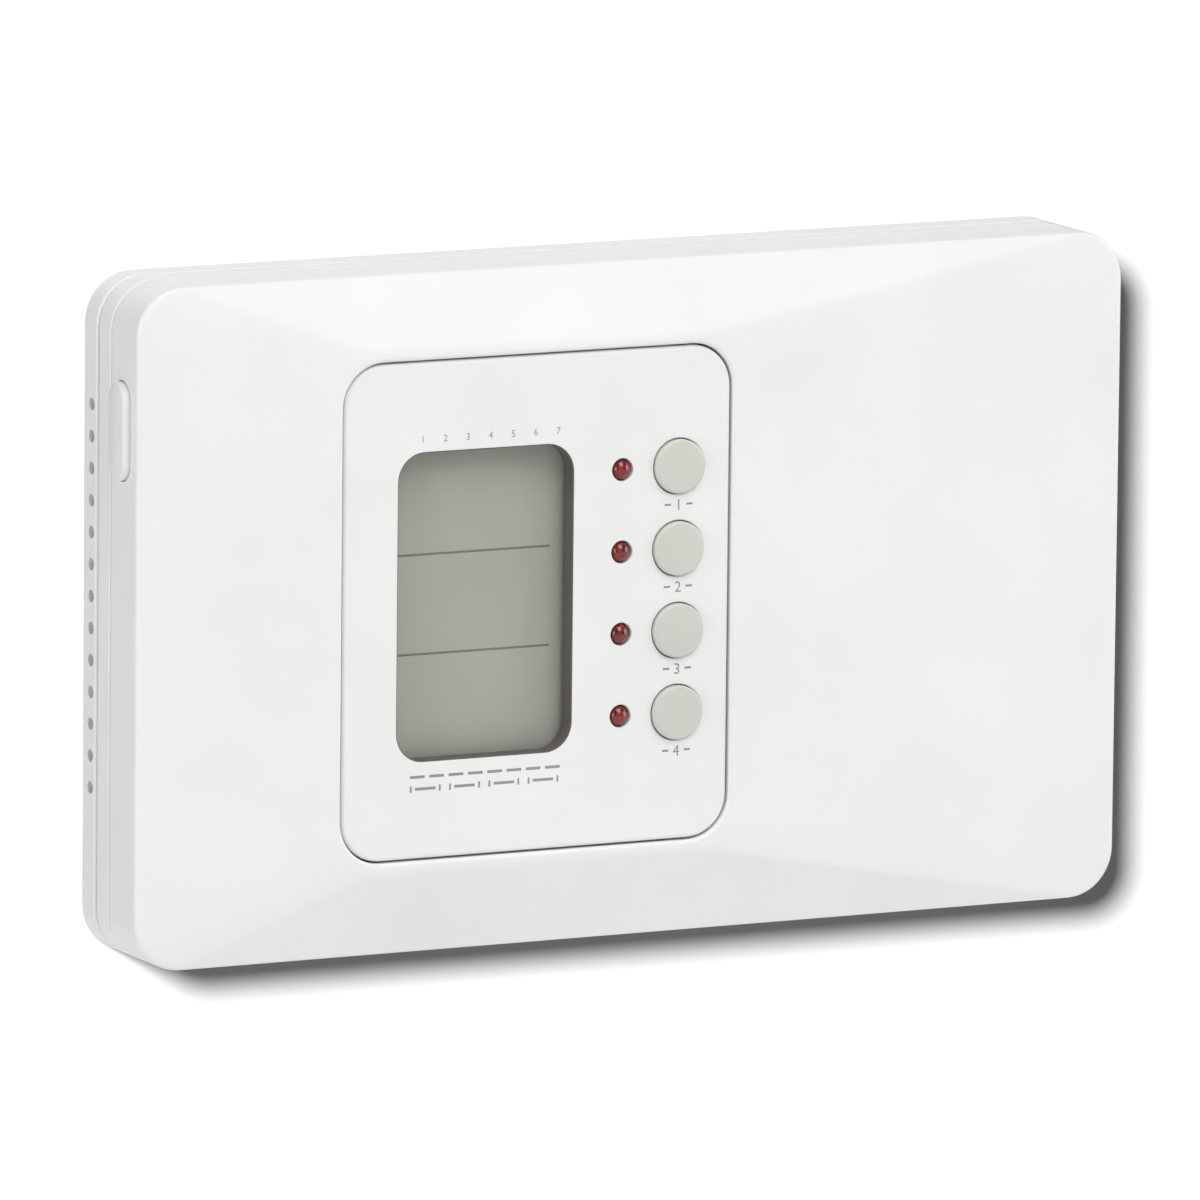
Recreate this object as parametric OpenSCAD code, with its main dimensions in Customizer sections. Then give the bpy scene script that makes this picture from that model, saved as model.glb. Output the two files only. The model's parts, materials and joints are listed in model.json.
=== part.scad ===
// Wall-mounted four-channel programmable timer for heating circuits.
// A shallow white case: a wall plate, a mid case with the electronics and a
// hinged front door with a cut-out around the fixed control panel.
// Seen from the front, +X is to the right and +Z is up. The wall is the plane
// Y = 0 and the timer stands out from it along -Y. The origin is the centre
// of the back face.
// Every module draws in the plane of the wall: x to the right, y up, and z is
// the distance out from the wall. on_wall() turns that into the frame above.

/* [Case] */
// Width of the case
case_w = 154; // [150:1:170]
// Height of the case
case_h = 96; // [94:1:110]
// Corner radius of the case, seen from the front
case_r = 7; // [5:0.5:9]
// Distance from the wall to the front edge of the door
rim_depth = 18; // [18:0.5:20]
// Distance from the wall to the raised middle of the door
total_depth = 22.4; // [22.4:0.1:25]
// Depth of the wall plate's outer rim
plate_rim = 4.2; // [4.2:0.1:4.4]
// Wall thickness of the mid case and of the door
wall = 2; // [1.8:0.1:2.2]

/* [Control panel] */
// Width of the control panel
panel_w = 60; // [60:0.5:62]
// Height of the control panel
panel_h = 70; // [70:0.5:72]
// Corner radius of the control panel
panel_r = 6; // [5:0.5:8]
// Panel centre, right of the case centre
panel_x = -17.4; // [-18:0.1:-17]
// Panel centre, above the case centre
panel_y = 1; // [0:0.1:2]
// Gap between the panel and the door
panel_gap = 0.35; // [0.3:0.05:0.5]

/* [Display] */
// Width of the display opening
lcd_w = 27; // [25:0.5:28]
// Height of the display opening
lcd_h = 43.4; // [40:0.2:44]
// Corner radius of the display opening
lcd_r = 4; // [3:0.5:5]
// Left edge of the opening, from the left edge of the panel
lcd_from_left = 8.5; // [8:0.1:9]
// Bottom edge of the opening, from the bottom edge of the panel
lcd_from_bottom = 13.8; // [13:0.1:15]

/* [Channels] */
// Number of channels, each with a button, a light and a relay
channels = 4; // [4]
// Distance between channel buttons
channel_pitch = 11.65; // [11:0.05:11.9]
// Height of the top button, from the bottom edge of the panel
channel_top = 53; // [50:0.5:54]
// Column of the buttons, from the left edge of the panel
button_from_left = 52; // [51.5:0.1:52.4]
// Diameter of a channel button
button_d = 7.7; // [7:0.1:8]
// Height of a channel button above the panel
button_proud = 0.9; // [0.8:0.1:1.2]
// Travel of a channel button
button_travel = 0.5; // [0.4:0.05:0.5]
// Column of the lights, from the left edge of the panel
led_from_left = 43.2; // [42:0.1:44]
// Diameter of a light
led_d = 3; // [3]

/* [Door and latch] */
// Radius of the door's hinge edge
hinge_r = 1.6; // [1.6]
// Radius of a hinge pin
pin_r = 0.75; // [0.7:0.05:0.8]
// Height of the latch above the case centre
latch_y = 27.5; // [24:0.5:28]
// Length of the latch button
latch_len = 13.9; // [12:0.1:15]
// Width of the latch button
latch_wide = 5.4; // [5:0.1:5.4]
// Height of the latch button above the side of the door
latch_proud = 1.3; // [1.2:0.1:1.5]

/* [Wall fixing] */
// Distance between the two slots, as on a standard wall box
slot_pitch = 60.3; // [60.3]
// Height of the slots below the case centre
slot_drop = 35; // [34:0.5:36]
// Length of a slot, end to end
slot_len = 8; // [7:0.5:9]
// Width of a slot
slot_wide = 4.2; // [4:0.1:4.5]
// Width of the cable window
window_w = 44; // [40:1:44]
// Height of the cable window
window_h = 13; // [12:0.5:13]
// Number of vents along each side
vents = 13; // [9:1:13]
// Distance between vents
vent_pitch = 4.5; // [4:0.1:4.6]

/* [Hidden] */
$fn = 48;

eps = 0.5;              // how far a cutter runs past the face it cuts
thin = 0.01;            // height of a layer that only carries an outline

// The four corners around a point, as [x, y] pairs
function corners(dx, dy, x = 0, y = 0) = [for (sx = [-1, 1], sy = [-1, 1]) [x + sx * dx, y + sy * dy]];

// Layers, as distances out from the wall
plate_floor = 1.6;
groove_top = 5.0;
lip_top = 6.6;
mid_top = 8.8;
seam = 0.3;
door_back = mid_top + seam;
deck_top = 13.0;
deck_thick = 1.6;
deck_under = deck_top - deck_thick;
edge_round = 1.0;
rim_inset = 1.2;
crest_margin = 1.5;
mid_skin = 1.5;
panel_face = total_depth - 0.4;
panel_under = panel_face - 2.0;
board_thick = 1.6;
main_under = 3.0;
main_top = main_under + board_thick;
display_thick = 1.0;
display_under = 15.0;
display_top = display_under + display_thick;
lcd_under = display_top + 0.6;
lcd_face = lcd_under + 1.4;
lens_face = lcd_face + 1.0;
keypad_thick = 1.2;
keypad_top = 9.4;
keypad_under = keypad_top - keypad_thick;

// Insets of the walls from the outline of the case
groove_inset = 0.8;
lip_inset = wall + 0.1;
cavity_inset = 3.0;
deck_inset = wall + 0.9;
deck_inset_right = wall + 2.4;
deck_wall = 1.6;

// Hinge, along the rear right edge of the door
hinge_x = case_w / 2 - hinge_r;
hinge_d = door_back + hinge_r;
lug_in = 36;
lug_out = 40;
lug_gap = 0.3;
pin_depth = 5;
pin_play = 0.07;

// Control panel and display, measured from the centre of the case
panel_left = panel_x - panel_w / 2;
panel_bottom = panel_y - panel_h / 2;
panel_wall = 1.6;
lcd_x = panel_left + lcd_from_left + lcd_w / 2;
lcd_y = panel_bottom + lcd_from_bottom + lcd_h / 2;
frame_wall = 0.4;
lcd_border = 2.5;
lens_margin = 1.5;
button_x = panel_left + button_from_left;
led_x = panel_left + led_from_left;
function channel_y(i) = panel_bottom + channel_top - i * channel_pitch;
display_posts = corners(panel_w / 2 - 4.2, 29, panel_x, panel_y);
display_post_r = 2;
leg_rows = [-4, 22];
leg_w = 6;
leg_thick = 1.2;
button_play = 0.3;
button_edge = 0.3;
button_flange = 1;
button_rest = panel_under - 0.1;
button_stem_r = 1.4;
flange_thick = 0.8;
switch_floor = 0.5;
led_play = 0.12;
led_rim = 0.3;

// Programming keys, in the deck behind the door
key_rows = 3;
key_w = 10;
key_h = 6;
key_proud = 1.2;
key_travel = 0.5;
key_pitch_x = 19;
key_pitch_y = 15;
key_mid_x = 41;
keypad_w = 44;
keypad_h = 50;
function key_pos(i) = [
    key_mid_x + (i % 2 - 0.5) * key_pitch_x,
    panel_y + (1 - floor(i / 2)) * key_pitch_y
];
keypad_posts = corners(keypad_w / 2 - 3, keypad_h / 2 - 3, key_mid_x, panel_y);
keypad_post_r = 2.2;
key_play = 0.25;
key_r = 1.3;
key_hole_r = 1.5;
key_edge = 0.3;
key_flange = 1;
key_stem_r = 0.9;
key_switch_floor = 0.15;

// Main board and what is on it
board_w = 132;
board_h = 56;
board_y = 6;
board_bottom = board_y - board_h / 2;
board_posts = corners(board_w / 2 - 4, board_h / 2 - 4, 0, board_y);
relay_size = [10, 20, 10];
relay_gap = 1.2;
relay_x = panel_left + 13;
relay_y = 22;
module_x = -28;
module_y = -2;
fuse_x = -55.5;
fuse_y = -13;
fuse_axis = main_top + 3.2;
fuse_cap_r = 2.6;
fuse_cap_at = 7.5;
poles = 11;
pole_pitch = 5;
terminal_h = 10.5;
terminal_tall = 9.6;
terminal_left = panel_x - poles * pole_pitch / 2;
terminal_y = board_bottom + terminal_h / 2;
cell_r = 10;
cell_thick = 3.2;
cell_x = -54.6;
cell_y = 14;
header_x = panel_left + panel_w - 8.2;
header_y = -1;
header_rows = 8;
header_pitch = 2;

// Fixings
case_posts = corners(67, 40.6);
case_post_r = 2.8;
board_post_r = 3;
clamp_post_r = 2.5;
case_screw_r = 1.5;
small_screw_r = 1.0;
screw_play = 0.2;
recess_r = 3.2;
recess_deep = 0.9;
keyhole_y = 40;
keyhole_r = 4;
keyhole_neck = 6;
window_y = -35.5;
clamp_x = 17;
clamp_y = -25.3;
clamp_under = 5.6;
vent_r = 0.9;
vent_d = 2.7;
vent_mid = 2.9;

// Latch, in the left wall of the door
latch_d = 12.7;
latch_window_gap = 0.15;
latch_flange = [1.0, 17, 5.6];
latch_flange_d = 12.2;
latch_inner = -case_w / 2 + wall;
hook_d = lip_top - 0.4;
latch_travel = 1.2;
spring_wire = 0.25;
spring_coil = 1.9;
spring_turns = 5;
spring_clear = 0.06;
spring_start = latch_inner + 0.1 + latch_flange[0];
seat_x = -69.3;
seat_thick = 1.2;
pocket_half = 9.0;
pocket_wall = 0.9;
pocket_end = seat_x + seat_thick + 0.8;
arm_thick = 1.0;
arm_w = 6;
arm_x = latch_inner + 1.2;
arm_room = arm_x - latch_inner + arm_thick / 2 + latch_travel + 0.6;

white = [0.93, 0.93, 0.93];
grey = [0.79, 0.80, 0.76];
green = [0.12, 0.38, 0.22];
steel = [0.72, 0.73, 0.75];
brass = [0.80, 0.66, 0.32];
black = [0.12, 0.12, 0.13];

// ---- Shared shapes ----

// Stands a drawing made in the plane of the wall upright
module on_wall() {
    rotate([90, 0, 0]) children();
}

module rounded_rect(w, h, r) {
    square([w - 2 * r, h], center = true);
    square([w, h - 2 * r], center = true);
    for (sx = [-1, 1], sy = [-1, 1])
        translate([sx * (w / 2 - r), sy * (h / 2 - r)]) circle(r);
}

// A plate with rounded corners from one distance from the wall to another
module slab(w, h, r, from, to) {
    translate([0, 0, from]) linear_extrude(to - from) rounded_rect(w, h, r);
}

// A slab of the case's outline, drawn in by an inset
module case_slab(inset, from, to) {
    slab(case_w - 2 * inset, case_h - 2 * inset, case_r - inset, from, to);
}

// A box centred on x and y, from one distance from the wall to another
module block(x, y, w, h, from, to) {
    translate([x - w / 2, y - h / 2, from]) cube([w, h, to - from]);
}

// A round post or hole that points away from the wall
module post(x, y, r, from, to) {
    translate([x, y, from]) cylinder(r = r, h = to - from);
}

// A slot with round ends, along x
module slot(x, y, len, wide, from, to) {
    straight = len - wide;
    block(x, y, straight, wide, from, to);
    for (s = [-1, 1])
        post(x + s * straight / 2, y, wide / 2, from, to);
}

// A plate with round ends on a side wall: long in y, thin in x
module side_pill(len, wide, from_x, to_x, y, d) {
    translate([from_x, y, d]) rotate([0, 90, 0]) linear_extrude(to_x - from_x) {
        square([wide, len - wide], center = true);
        for (s = [-1, 1])
            translate([0, s * (len - wide) / 2]) circle(wide / 2);
    }
}

// A pan-head screw whose shank points back to the wall
module screw(x, y, r, under_head, shank, head_r, head_h) {
    slot_w = head_r * 0.32;
    difference() {
        union() {
            post(x, y, r, under_head - shank, under_head);
            post(x, y, head_r, under_head, under_head + head_h);
        }
        for (turn = [0, 90])
            translate([x, y, under_head + head_h * 0.75]) rotate(turn)
                cube([head_r * 1.3, slot_w, head_h], center = true);
    }
}

// A closed tube of many-sided rings swept along a list of points
module swept_tube(path, r, sides) {
    n = len(path);
    function ahead(i) = path[min(i + 1, n - 1)] - path[max(i - 1, 0)];
    function unit(v) = v / norm(v);
    function side_dir(i) = unit(cross(ahead(i), [1, 0, 0.001]));
    function up_dir(i) = unit(cross(side_dir(i), ahead(i)));
    points = [
        for (i = [0 : n - 1], k = [0 : sides - 1])
            path[i] + r * (cos(360 * k / sides) * side_dir(i) + sin(360 * k / sides) * up_dir(i))
    ];
    skin = [
        for (i = [0 : n - 2], k = [0 : sides - 1])
            [i * sides + k, i * sides + (k + 1) % sides,
             (i + 1) * sides + (k + 1) % sides, (i + 1) * sides + k]
    ];
    first = [for (k = [sides - 1 : -1 : 0]) k];
    last = [for (k = [0 : sides - 1]) (n - 1) * sides + k];
    polyhedron(points, concat([first], skin, [last]), convexity = 8);
}

// ---- Case ----

module wall_plate() {
    color(white) on_wall() difference() {
        union() {
            difference() {
                union() {
                    case_slab(0, 0, plate_rim);
                    case_slab(groove_inset, 0, groove_top);
                    case_slab(lip_inset, 0, lip_top);
                }
                case_slab(cavity_inset, plate_floor, lip_top + eps);
            }
            for (p = board_posts) post(p[0], p[1], board_post_r, 0, main_under);
            for (p = case_posts) post(p[0], p[1], case_post_r, 0, deck_under);
            for (s = [-1, 1]) post(s * clamp_x, clamp_y, clamp_post_r, 0, clamp_under);
        }
        for (p = board_posts) post(p[0], p[1], small_screw_r, plate_floor - 0.8, main_under + eps);
        for (p = case_posts) post(p[0], p[1], case_screw_r, plate_floor, deck_under + eps);
        for (s = [-1, 1]) post(s * clamp_x, clamp_y, small_screw_r, plate_floor, clamp_under + eps);
        for (s = [-1, 1]) slot(s * slot_pitch / 2, -slot_drop, slot_len, slot_wide, -eps, plate_floor + eps);
        post(0, keyhole_y, keyhole_r, -eps, plate_floor + eps);
        block(0, keyhole_y + keyhole_neck / 2, slot_wide, keyhole_neck, -eps, plate_floor + eps);
        block(0, window_y, window_w, window_h, -eps, plate_floor + eps);
        vent_cuts();
        hook_relief();
    }
}

// The vents run through both side walls
module vent_cuts() {
    for (s = [-1, 1], i = [0 : vents - 1])
        translate([s * (case_w / 2 - cavity_inset / 2), vent_mid + (i - (vents - 1) / 2) * vent_pitch, vent_d])
            rotate([0, 90, 0]) cylinder(r = vent_r, h = cavity_inset + 2 * eps, center = true);
}

// Room in the wall plate's lip for the latch's hook
module hook_relief() {
    block(latch_inner + arm_room / 2, latch_y, arm_room + 1, arm_w + 2, groove_top, lip_top + eps);
}

module mid_case() {
    deck_w = case_w - deck_inset - deck_inset_right;
    deck_h = case_h - 2 * deck_inset;
    deck_x = (deck_inset - deck_inset_right) / 2;
    deck_r = case_r - deck_inset;
    color(white) on_wall() difference() {
        union() {
            difference() {
                union() {
                    case_slab(0, groove_top, mid_top);
                    translate([deck_x, 0, 0]) slab(deck_w, deck_h, deck_r, mid_top - eps, deck_top);
                }
                case_slab(wall, groove_top - eps, mid_top - mid_skin);
                translate([deck_x, 0, 0])
                    slab(deck_w - 2 * deck_wall, deck_h - 2 * deck_wall, deck_r - deck_wall,
                        groove_top - eps, deck_under);
            }
            latch_pocket_walls();
            for (p = keypad_posts) post(p[0], p[1], keypad_post_r, keypad_top, deck_under + eps);
            for (s = [-1, 1]) hinge_lug(s);
        }
        translate([panel_x, panel_y, 0])
            slab(panel_w - 2 * panel_wall, panel_h - 2 * panel_wall, panel_r - panel_wall,
                deck_under - eps, deck_top + eps);
        for (i = [0 : 2 * key_rows - 1])
            translate([key_pos(i)[0], key_pos(i)[1], 0])
                slab(key_w + 2 * key_play, key_h + 2 * key_play, key_hole_r, deck_under - eps, deck_top + eps);
        for (p = case_posts) post(p[0], p[1], case_screw_r + screw_play, deck_under - eps, deck_top + eps);
        for (p = case_posts) post(p[0], p[1], recess_r, deck_top - recess_deep, deck_top + eps);
        for (p = keypad_posts) post(p[0], p[1], small_screw_r, keypad_top - eps, deck_under + 0.6);
        latch_pocket();
        for (s = [-1, 1])
            translate([hinge_x, s * (lug_in + lug_out) / 2, hinge_d])
                rotate([90, 0, 0]) cylinder(r = pin_r, h = lug_out - lug_in + 2 * eps, center = true);
    }
}

// A lug that holds a hinge pin above the seam
module hinge_lug(side) {
    mid = side * (lug_in + lug_out) / 2;
    long = lug_out - lug_in;
    block(hinge_x, mid, 2 * hinge_r, long, mid_top - 1, hinge_d);
    translate([hinge_x, mid, hinge_d]) rotate([90, 0, 0]) cylinder(r = hinge_r, h = long, center = true);
}

module latch_pocket_walls() {
    left = -case_w / 2 + deck_inset;
    right = pocket_end + pocket_wall;
    block((left + right) / 2, latch_y, right - left, 2 * (pocket_half + pocket_wall),
        mid_top - mid_skin, deck_top);
}

// Room for the latch and its spring, with a way down for the latch's arm
module latch_pocket() {
    left = latch_inner - thin;
    block((left + pocket_end) / 2, latch_y, pocket_end - left, 2 * pocket_half, mid_top, deck_top + eps);
    block(left + arm_room / 2, latch_y, arm_room, arm_w + 2, groove_top - eps, mid_top + eps);
}

// The panel stands on the deck, with snap legs that hook under it
module control_panel() {
    inner_w = panel_w - 2 * panel_wall;
    inner_h = panel_h - 2 * panel_wall;
    color(white) on_wall() difference() {
        union() {
            translate([panel_x, panel_y, 0]) difference() {
                slab(panel_w, panel_h, panel_r, deck_top, panel_face);
                slab(inner_w, inner_h, panel_r - panel_wall, deck_top - eps, panel_under);
            }
            for (p = display_posts) post(p[0], p[1], display_post_r, display_top, panel_under + eps);
            for (s = [-1, 1], y = leg_rows) snap_leg(s, panel_y + y, inner_w / 2);
        }
        translate([lcd_x, lcd_y, 0])
            slab(lcd_w + 2 * frame_wall, lcd_h + 2 * frame_wall, lcd_r + frame_wall,
                panel_under - eps, panel_face + eps);
        for (i = [0 : channels - 1]) {
            post(button_x, channel_y(i), button_d / 2 + button_play, panel_under - eps, panel_face + eps);
            post(led_x, channel_y(i), led_d / 2 + led_play, panel_under - eps, panel_face + eps);
        }
        for (p = display_posts) post(p[0], p[1], small_screw_r - 0.1, display_top - eps, panel_under);
    }
}

// A leg inside the panel's wall: a stem, a root that joins it to the wall, and a hook at its foot
module snap_leg(side, y, reach) {
    leg_x = panel_x + side * (reach - 0.1 - leg_thick / 2);
    foot = deck_under - leg_thick;
    root = deck_top + 0.5;
    top = deck_top + 2;
    block(leg_x, y, leg_thick, leg_w, foot, top);
    block(leg_x + side * 0.2, y, leg_thick + 0.6, leg_w, root, top);
    block(leg_x + side * 0.5, y, leg_thick + 0.2, leg_w, foot, deck_under - 0.1);
}

// ---- Door ----

// The roof of the door: level around its edge, raised in the middle
module roof(inset, lower) {
    edge = rim_depth - lower;
    half_round = edge_round / 2;
    hull() {
        layer(edge - edge_round - eps, eps) case_corners(inset, 0);
        layer(edge - 0.3, thin) case_corners(inset + half_round, 0.1);
        layer(edge - thin, thin) case_corners(inset + rim_inset, 0.2);
        translate([panel_x, panel_y, 0])
            layer(total_depth - lower - thin, thin)
                corner_discs(panel_w + 2 * crest_margin, panel_h + 2 * crest_margin, panel_r + crest_margin);
    }
}

module layer(d, h) {
    translate([0, 0, d]) linear_extrude(h) children();
}

// Discs at the corners of the case's outline, drawn in by an inset and rounder by extra
module case_corners(inset, extra) {
    corner_discs(case_w - 2 * inset, case_h - 2 * inset, case_r - inset + extra);
}

module corner_discs(w, h, r) {
    for (sx = [-1, 1], sy = [-1, 1])
        translate([sx * (w / 2 - r), sy * (h / 2 - r)]) circle(r, $fn = 32);
}

module door() {
    bead_len = 2 * (lug_in - lug_gap);
    color(white) on_wall() difference() {
        union() {
            difference() {
                union() {
                    case_slab(0, door_back, rim_depth - edge_round);
                    roof(0, 0);
                }
                case_slab(wall, door_back - eps, rim_depth - wall - edge_round);
                roof(wall, wall);
            }
            translate([hinge_x, 0, hinge_d]) rotate([90, 0, 0])
                cylinder(r = hinge_r, h = bead_len, center = true);
            spring_seat();
        }
        translate([panel_x, panel_y, 0])
            slab(panel_w + 2 * panel_gap, panel_h + 2 * panel_gap, panel_r + panel_gap,
                rim_depth - wall, total_depth + eps);
        hinge_edge_cut();
        for (s = [-1, 1]) hinge_notch(s);
        for (s = [-1, 1])
            translate([hinge_x, s * (lug_in - pin_depth / 2), hinge_d]) rotate([90, 0, 0])
                cylinder(r = pin_r + pin_play, h = pin_depth + 2 * eps, center = true);
        side_pill(latch_len + 2 * latch_window_gap, latch_wide + 2 * latch_window_gap,
            -case_w / 2 - eps, latch_inner + eps, latch_y, latch_d);
    }
}

// A wall under the roof that the latch's spring pushes against
module spring_seat() {
    block(seat_x + seat_thick / 2, latch_y, seat_thick, 8, latch_d - 2.4, rim_depth - 0.6);
}

// Rounds the rear right edge of the door about the hinge axis
module hinge_edge_cut() {
    difference() {
        translate([hinge_x, -case_h / 2 - eps, door_back - eps])
            cube([hinge_r + eps, case_h + 2 * eps, hinge_d - door_back + eps]);
        translate([hinge_x, 0, hinge_d]) rotate([90, 0, 0])
            cylinder(r = hinge_r, h = case_h + 4 * eps, center = true);
    }
}

// Room for a hinge lug as the door turns about it
module hinge_notch(side) {
    block(hinge_x, side * (lug_in + lug_out) / 2, 2 * hinge_r + 1, lug_out - lug_in + 2 * lug_gap,
        door_back - eps, hinge_d + hinge_r + 0.6);
}

module hinge_pins() {
    color(steel) on_wall() for (s = [-1, 1])
        translate([hinge_x, s * (lug_out + lug_in - pin_depth) / 2, hinge_d]) rotate([90, 0, 0])
            cylinder(r = pin_r, h = lug_out - lug_in + pin_depth, center = true);
}

module latch_button() {
    face_x = -case_w / 2 - latch_proud;
    step = 0.4;
    flange_x = latch_inner + 0.1;
    flange_low = latch_flange_d - latch_flange[2] / 2;
    color(white) on_wall() {
        side_pill(latch_len, latch_wide, face_x + step, flange_x + 0.2, latch_y, latch_d);
        side_pill(latch_len - 2 * step, latch_wide - 2 * step, face_x, face_x + step + 0.1, latch_y, latch_d);
        block(flange_x + latch_flange[0] / 2, latch_y, latch_flange[0], latch_flange[1],
            flange_low, flange_low + latch_flange[2]);
        block(arm_x, latch_y, arm_thick, arm_w, hook_d, flange_low + 0.6);
        block(arm_x - 0.6, latch_y, arm_thick - 0.2, arm_w, hook_d, hook_d + 1.1);
        translate([spring_start - 0.1, latch_y, latch_d]) rotate([0, 90, 0])
            cylinder(r = spring_coil - spring_wire - 0.3, h = 1.6);
    }
}

// Compression spring between the latch and its seat on the door
module latch_spring() {
    steps = 16 * spring_turns;
    length = seat_x - spring_start - 2 * (spring_wire + spring_clear);
    path = [
        for (i = [0 : steps])
            [
                spring_start + spring_clear + spring_wire + length * i / steps,
                latch_y + spring_coil * cos(360 * spring_turns * i / steps),
                latch_d + spring_coil * sin(360 * spring_turns * i / steps)
            ]
    ];
    color(steel) on_wall() swept_tube(path, spring_wire, 6);
}

// ---- Display and channels ----

// A slab around the middle of the display opening, larger than the opening by a margin all round
module lcd_slab(margin, r, from, to) {
    translate([lcd_x, lcd_y, 0]) slab(lcd_w + 2 * margin, lcd_h + 2 * margin, r, from, to);
}

// Dark frame that lines the display opening
module lcd_frame() {
    color(black) on_wall() difference() {
        union() {
            lcd_slab(frame_wall - 0.02, lcd_r + frame_wall, panel_under - 0.5, panel_face - 0.1);
            lcd_slab(lcd_border, lcd_r, lcd_under + 0.1, panel_under);
        }
        lcd_slab(0, lcd_r, lcd_under - eps, panel_face + eps);
        lcd_slab(lens_margin + 0.2, 1.0, lcd_under - eps, lens_face + 0.1);
    }
}

module lcd_lens() {
    color([0.85, 0.9, 0.88, 0.35]) on_wall() lcd_slab(lens_margin, 0.8, lcd_face, lens_face);
}

module lcd_glass() {
    color([0.62, 0.64, 0.58]) on_wall() lcd_slab(lens_margin, 0.6, lcd_under, lcd_face);
}

// Reflector behind the display glass
module lcd_backing() {
    color([0.85, 0.86, 0.84]) on_wall() translate([lcd_x, lcd_y, 0])
        slab(lcd_w, lcd_h - 3, 0.6, display_top, lcd_under);
}

module lcd_pins() {
    pins = 12;
    pitch = 2;
    color(steel) on_wall() for (s = [-1, 1], i = [0 : pins - 1])
        block(lcd_x + (i - (pins - 1) / 2) * pitch, lcd_y + s * lcd_h / 2, 0.5, 1.2, display_top, lcd_under);
}

module led(i) {
    rim = display_top + 1.2;
    shoulder = panel_face - 1.1;
    lead_pitch = 2.54;
    color([0.5, 0.1, 0.1]) on_wall() translate([led_x, channel_y(i - 1), 0]) {
        for (s = [-1, 1]) block(s * lead_pitch / 2, 0, 0.5, 0.5, display_top, rim);
        post(0, 0, led_d / 2 + led_rim, rim, rim + flange_thick);
        post(0, 0, led_d / 2, rim, shoulder);
        translate([0, 0, shoulder]) intersection() {
            sphere(led_d / 2);
            cylinder(r = led_d, h = led_d);
        }
    }
}

module channel_button(i) {
    top = panel_face + button_proud - button_edge;
    flange_low = button_rest - flange_thick;
    stem_end = display_top + switch_floor + button_travel + 0.2;
    color(grey) on_wall() translate([button_x, channel_y(i - 1), 0]) {
        post(0, 0, button_d / 2, flange_low, top);
        translate([0, 0, top]) cylinder(r1 = button_d / 2, r2 = button_d / 2 - button_edge, h = button_edge);
        post(0, 0, button_d / 2 + button_flange, flange_low, button_rest);
        post(0, 0, button_stem_r, stem_end, flange_low + 0.1);
    }
}

// A square switch with a round well for the stem that presses it
module switch_body(x, y, w, from, tall, well_r, well_floor) {
    difference() {
        block(x, y, w, w, from, from + tall);
        post(x, y, well_r, from + well_floor, from + tall + eps);
    }
}

module channel_switches() {
    color(black) on_wall() for (i = [0 : channels - 1])
        switch_body(button_x, channel_y(i), 6, display_top, 2.1, button_stem_r + 0.2, switch_floor);
}

module display_board() {
    color(green) on_wall() difference() {
        translate([panel_x, panel_y, 0])
            slab(panel_w - 2 * panel_wall - 1.5, panel_h - 2 * panel_wall - 2, 3, display_under, display_top);
        for (p = display_posts) post(p[0], p[1], small_screw_r + 0.1, display_under - eps, display_top + eps);
        for (s = [-1, 1], y = leg_rows)
            block(panel_x + s * (panel_w / 2 - panel_wall - 1), panel_y + y, 3, leg_w + 1,
                display_under - eps, display_top + eps);
    }
}

module microcontroller() {
    chip = [12, 5, 1.5];
    stand = 0.2;
    leads = 10;
    lead_pitch = 1.1;
    x = lcd_x + 12;
    y = panel_bottom + 6.8;
    color(black) on_wall() {
        block(x, y, chip[0], chip[1], display_top + stand, display_top + stand + chip[2]);
        for (s = [-1, 1], i = [0 : leads - 1])
            block(x + (i - (leads - 1) / 2) * lead_pitch, y + s * (chip[1] / 2 + 0.4), 0.4, 1.4,
                display_top, display_top + 0.6);
    }
}

// A metal can on its wider base plate
module clock_crystal() {
    can_w = 8;
    can_h = 3.6;
    color(steel) on_wall() translate([led_x + 2, panel_bottom + 8.0, 0]) {
        slab(can_w, can_h, can_h / 2 - 0.1, display_top + 0.3, display_top + 2.6);
        slab(can_w + 1, can_h + 0.8, can_h / 2 + 0.3, display_top, display_top + 0.35);
    }
}

// ---- Programming keys ----

module program_key(i) {
    x = key_pos(i - 1)[0];
    y = key_pos(i - 1)[1];
    flange_low = deck_under - flange_thick;
    stem_end = keypad_top + key_switch_floor + key_travel + 0.05;
    top = deck_top + key_proud;
    color(grey) on_wall() translate([x, y, 0]) {
        slab(key_w, key_h, key_r, flange_low, top - key_edge);
        slab(key_w - 2 * key_edge, key_h - 2 * key_edge, key_r - key_edge, deck_top, top);
        slab(key_w + 2 * key_flange, key_h + 2 * key_flange, key_hole_r, flange_low, deck_under - 0.1);
        post(0, 0, key_stem_r, stem_end, flange_low + 0.1);
    }
}

module key_switches() {
    color(black) on_wall() for (i = [0 : 2 * key_rows - 1])
        switch_body(key_pos(i)[0], key_pos(i)[1], 4.5, keypad_top, 0.65, key_stem_r + 0.2, key_switch_floor);
}

module keypad_board() {
    color(green) on_wall() difference() {
        translate([key_mid_x, panel_y, 0]) slab(keypad_w, keypad_h, 2, keypad_under, keypad_top);
        for (p = keypad_posts) post(p[0], p[1], small_screw_r + 0.1, keypad_under - eps, keypad_top + eps);
    }
}

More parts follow.
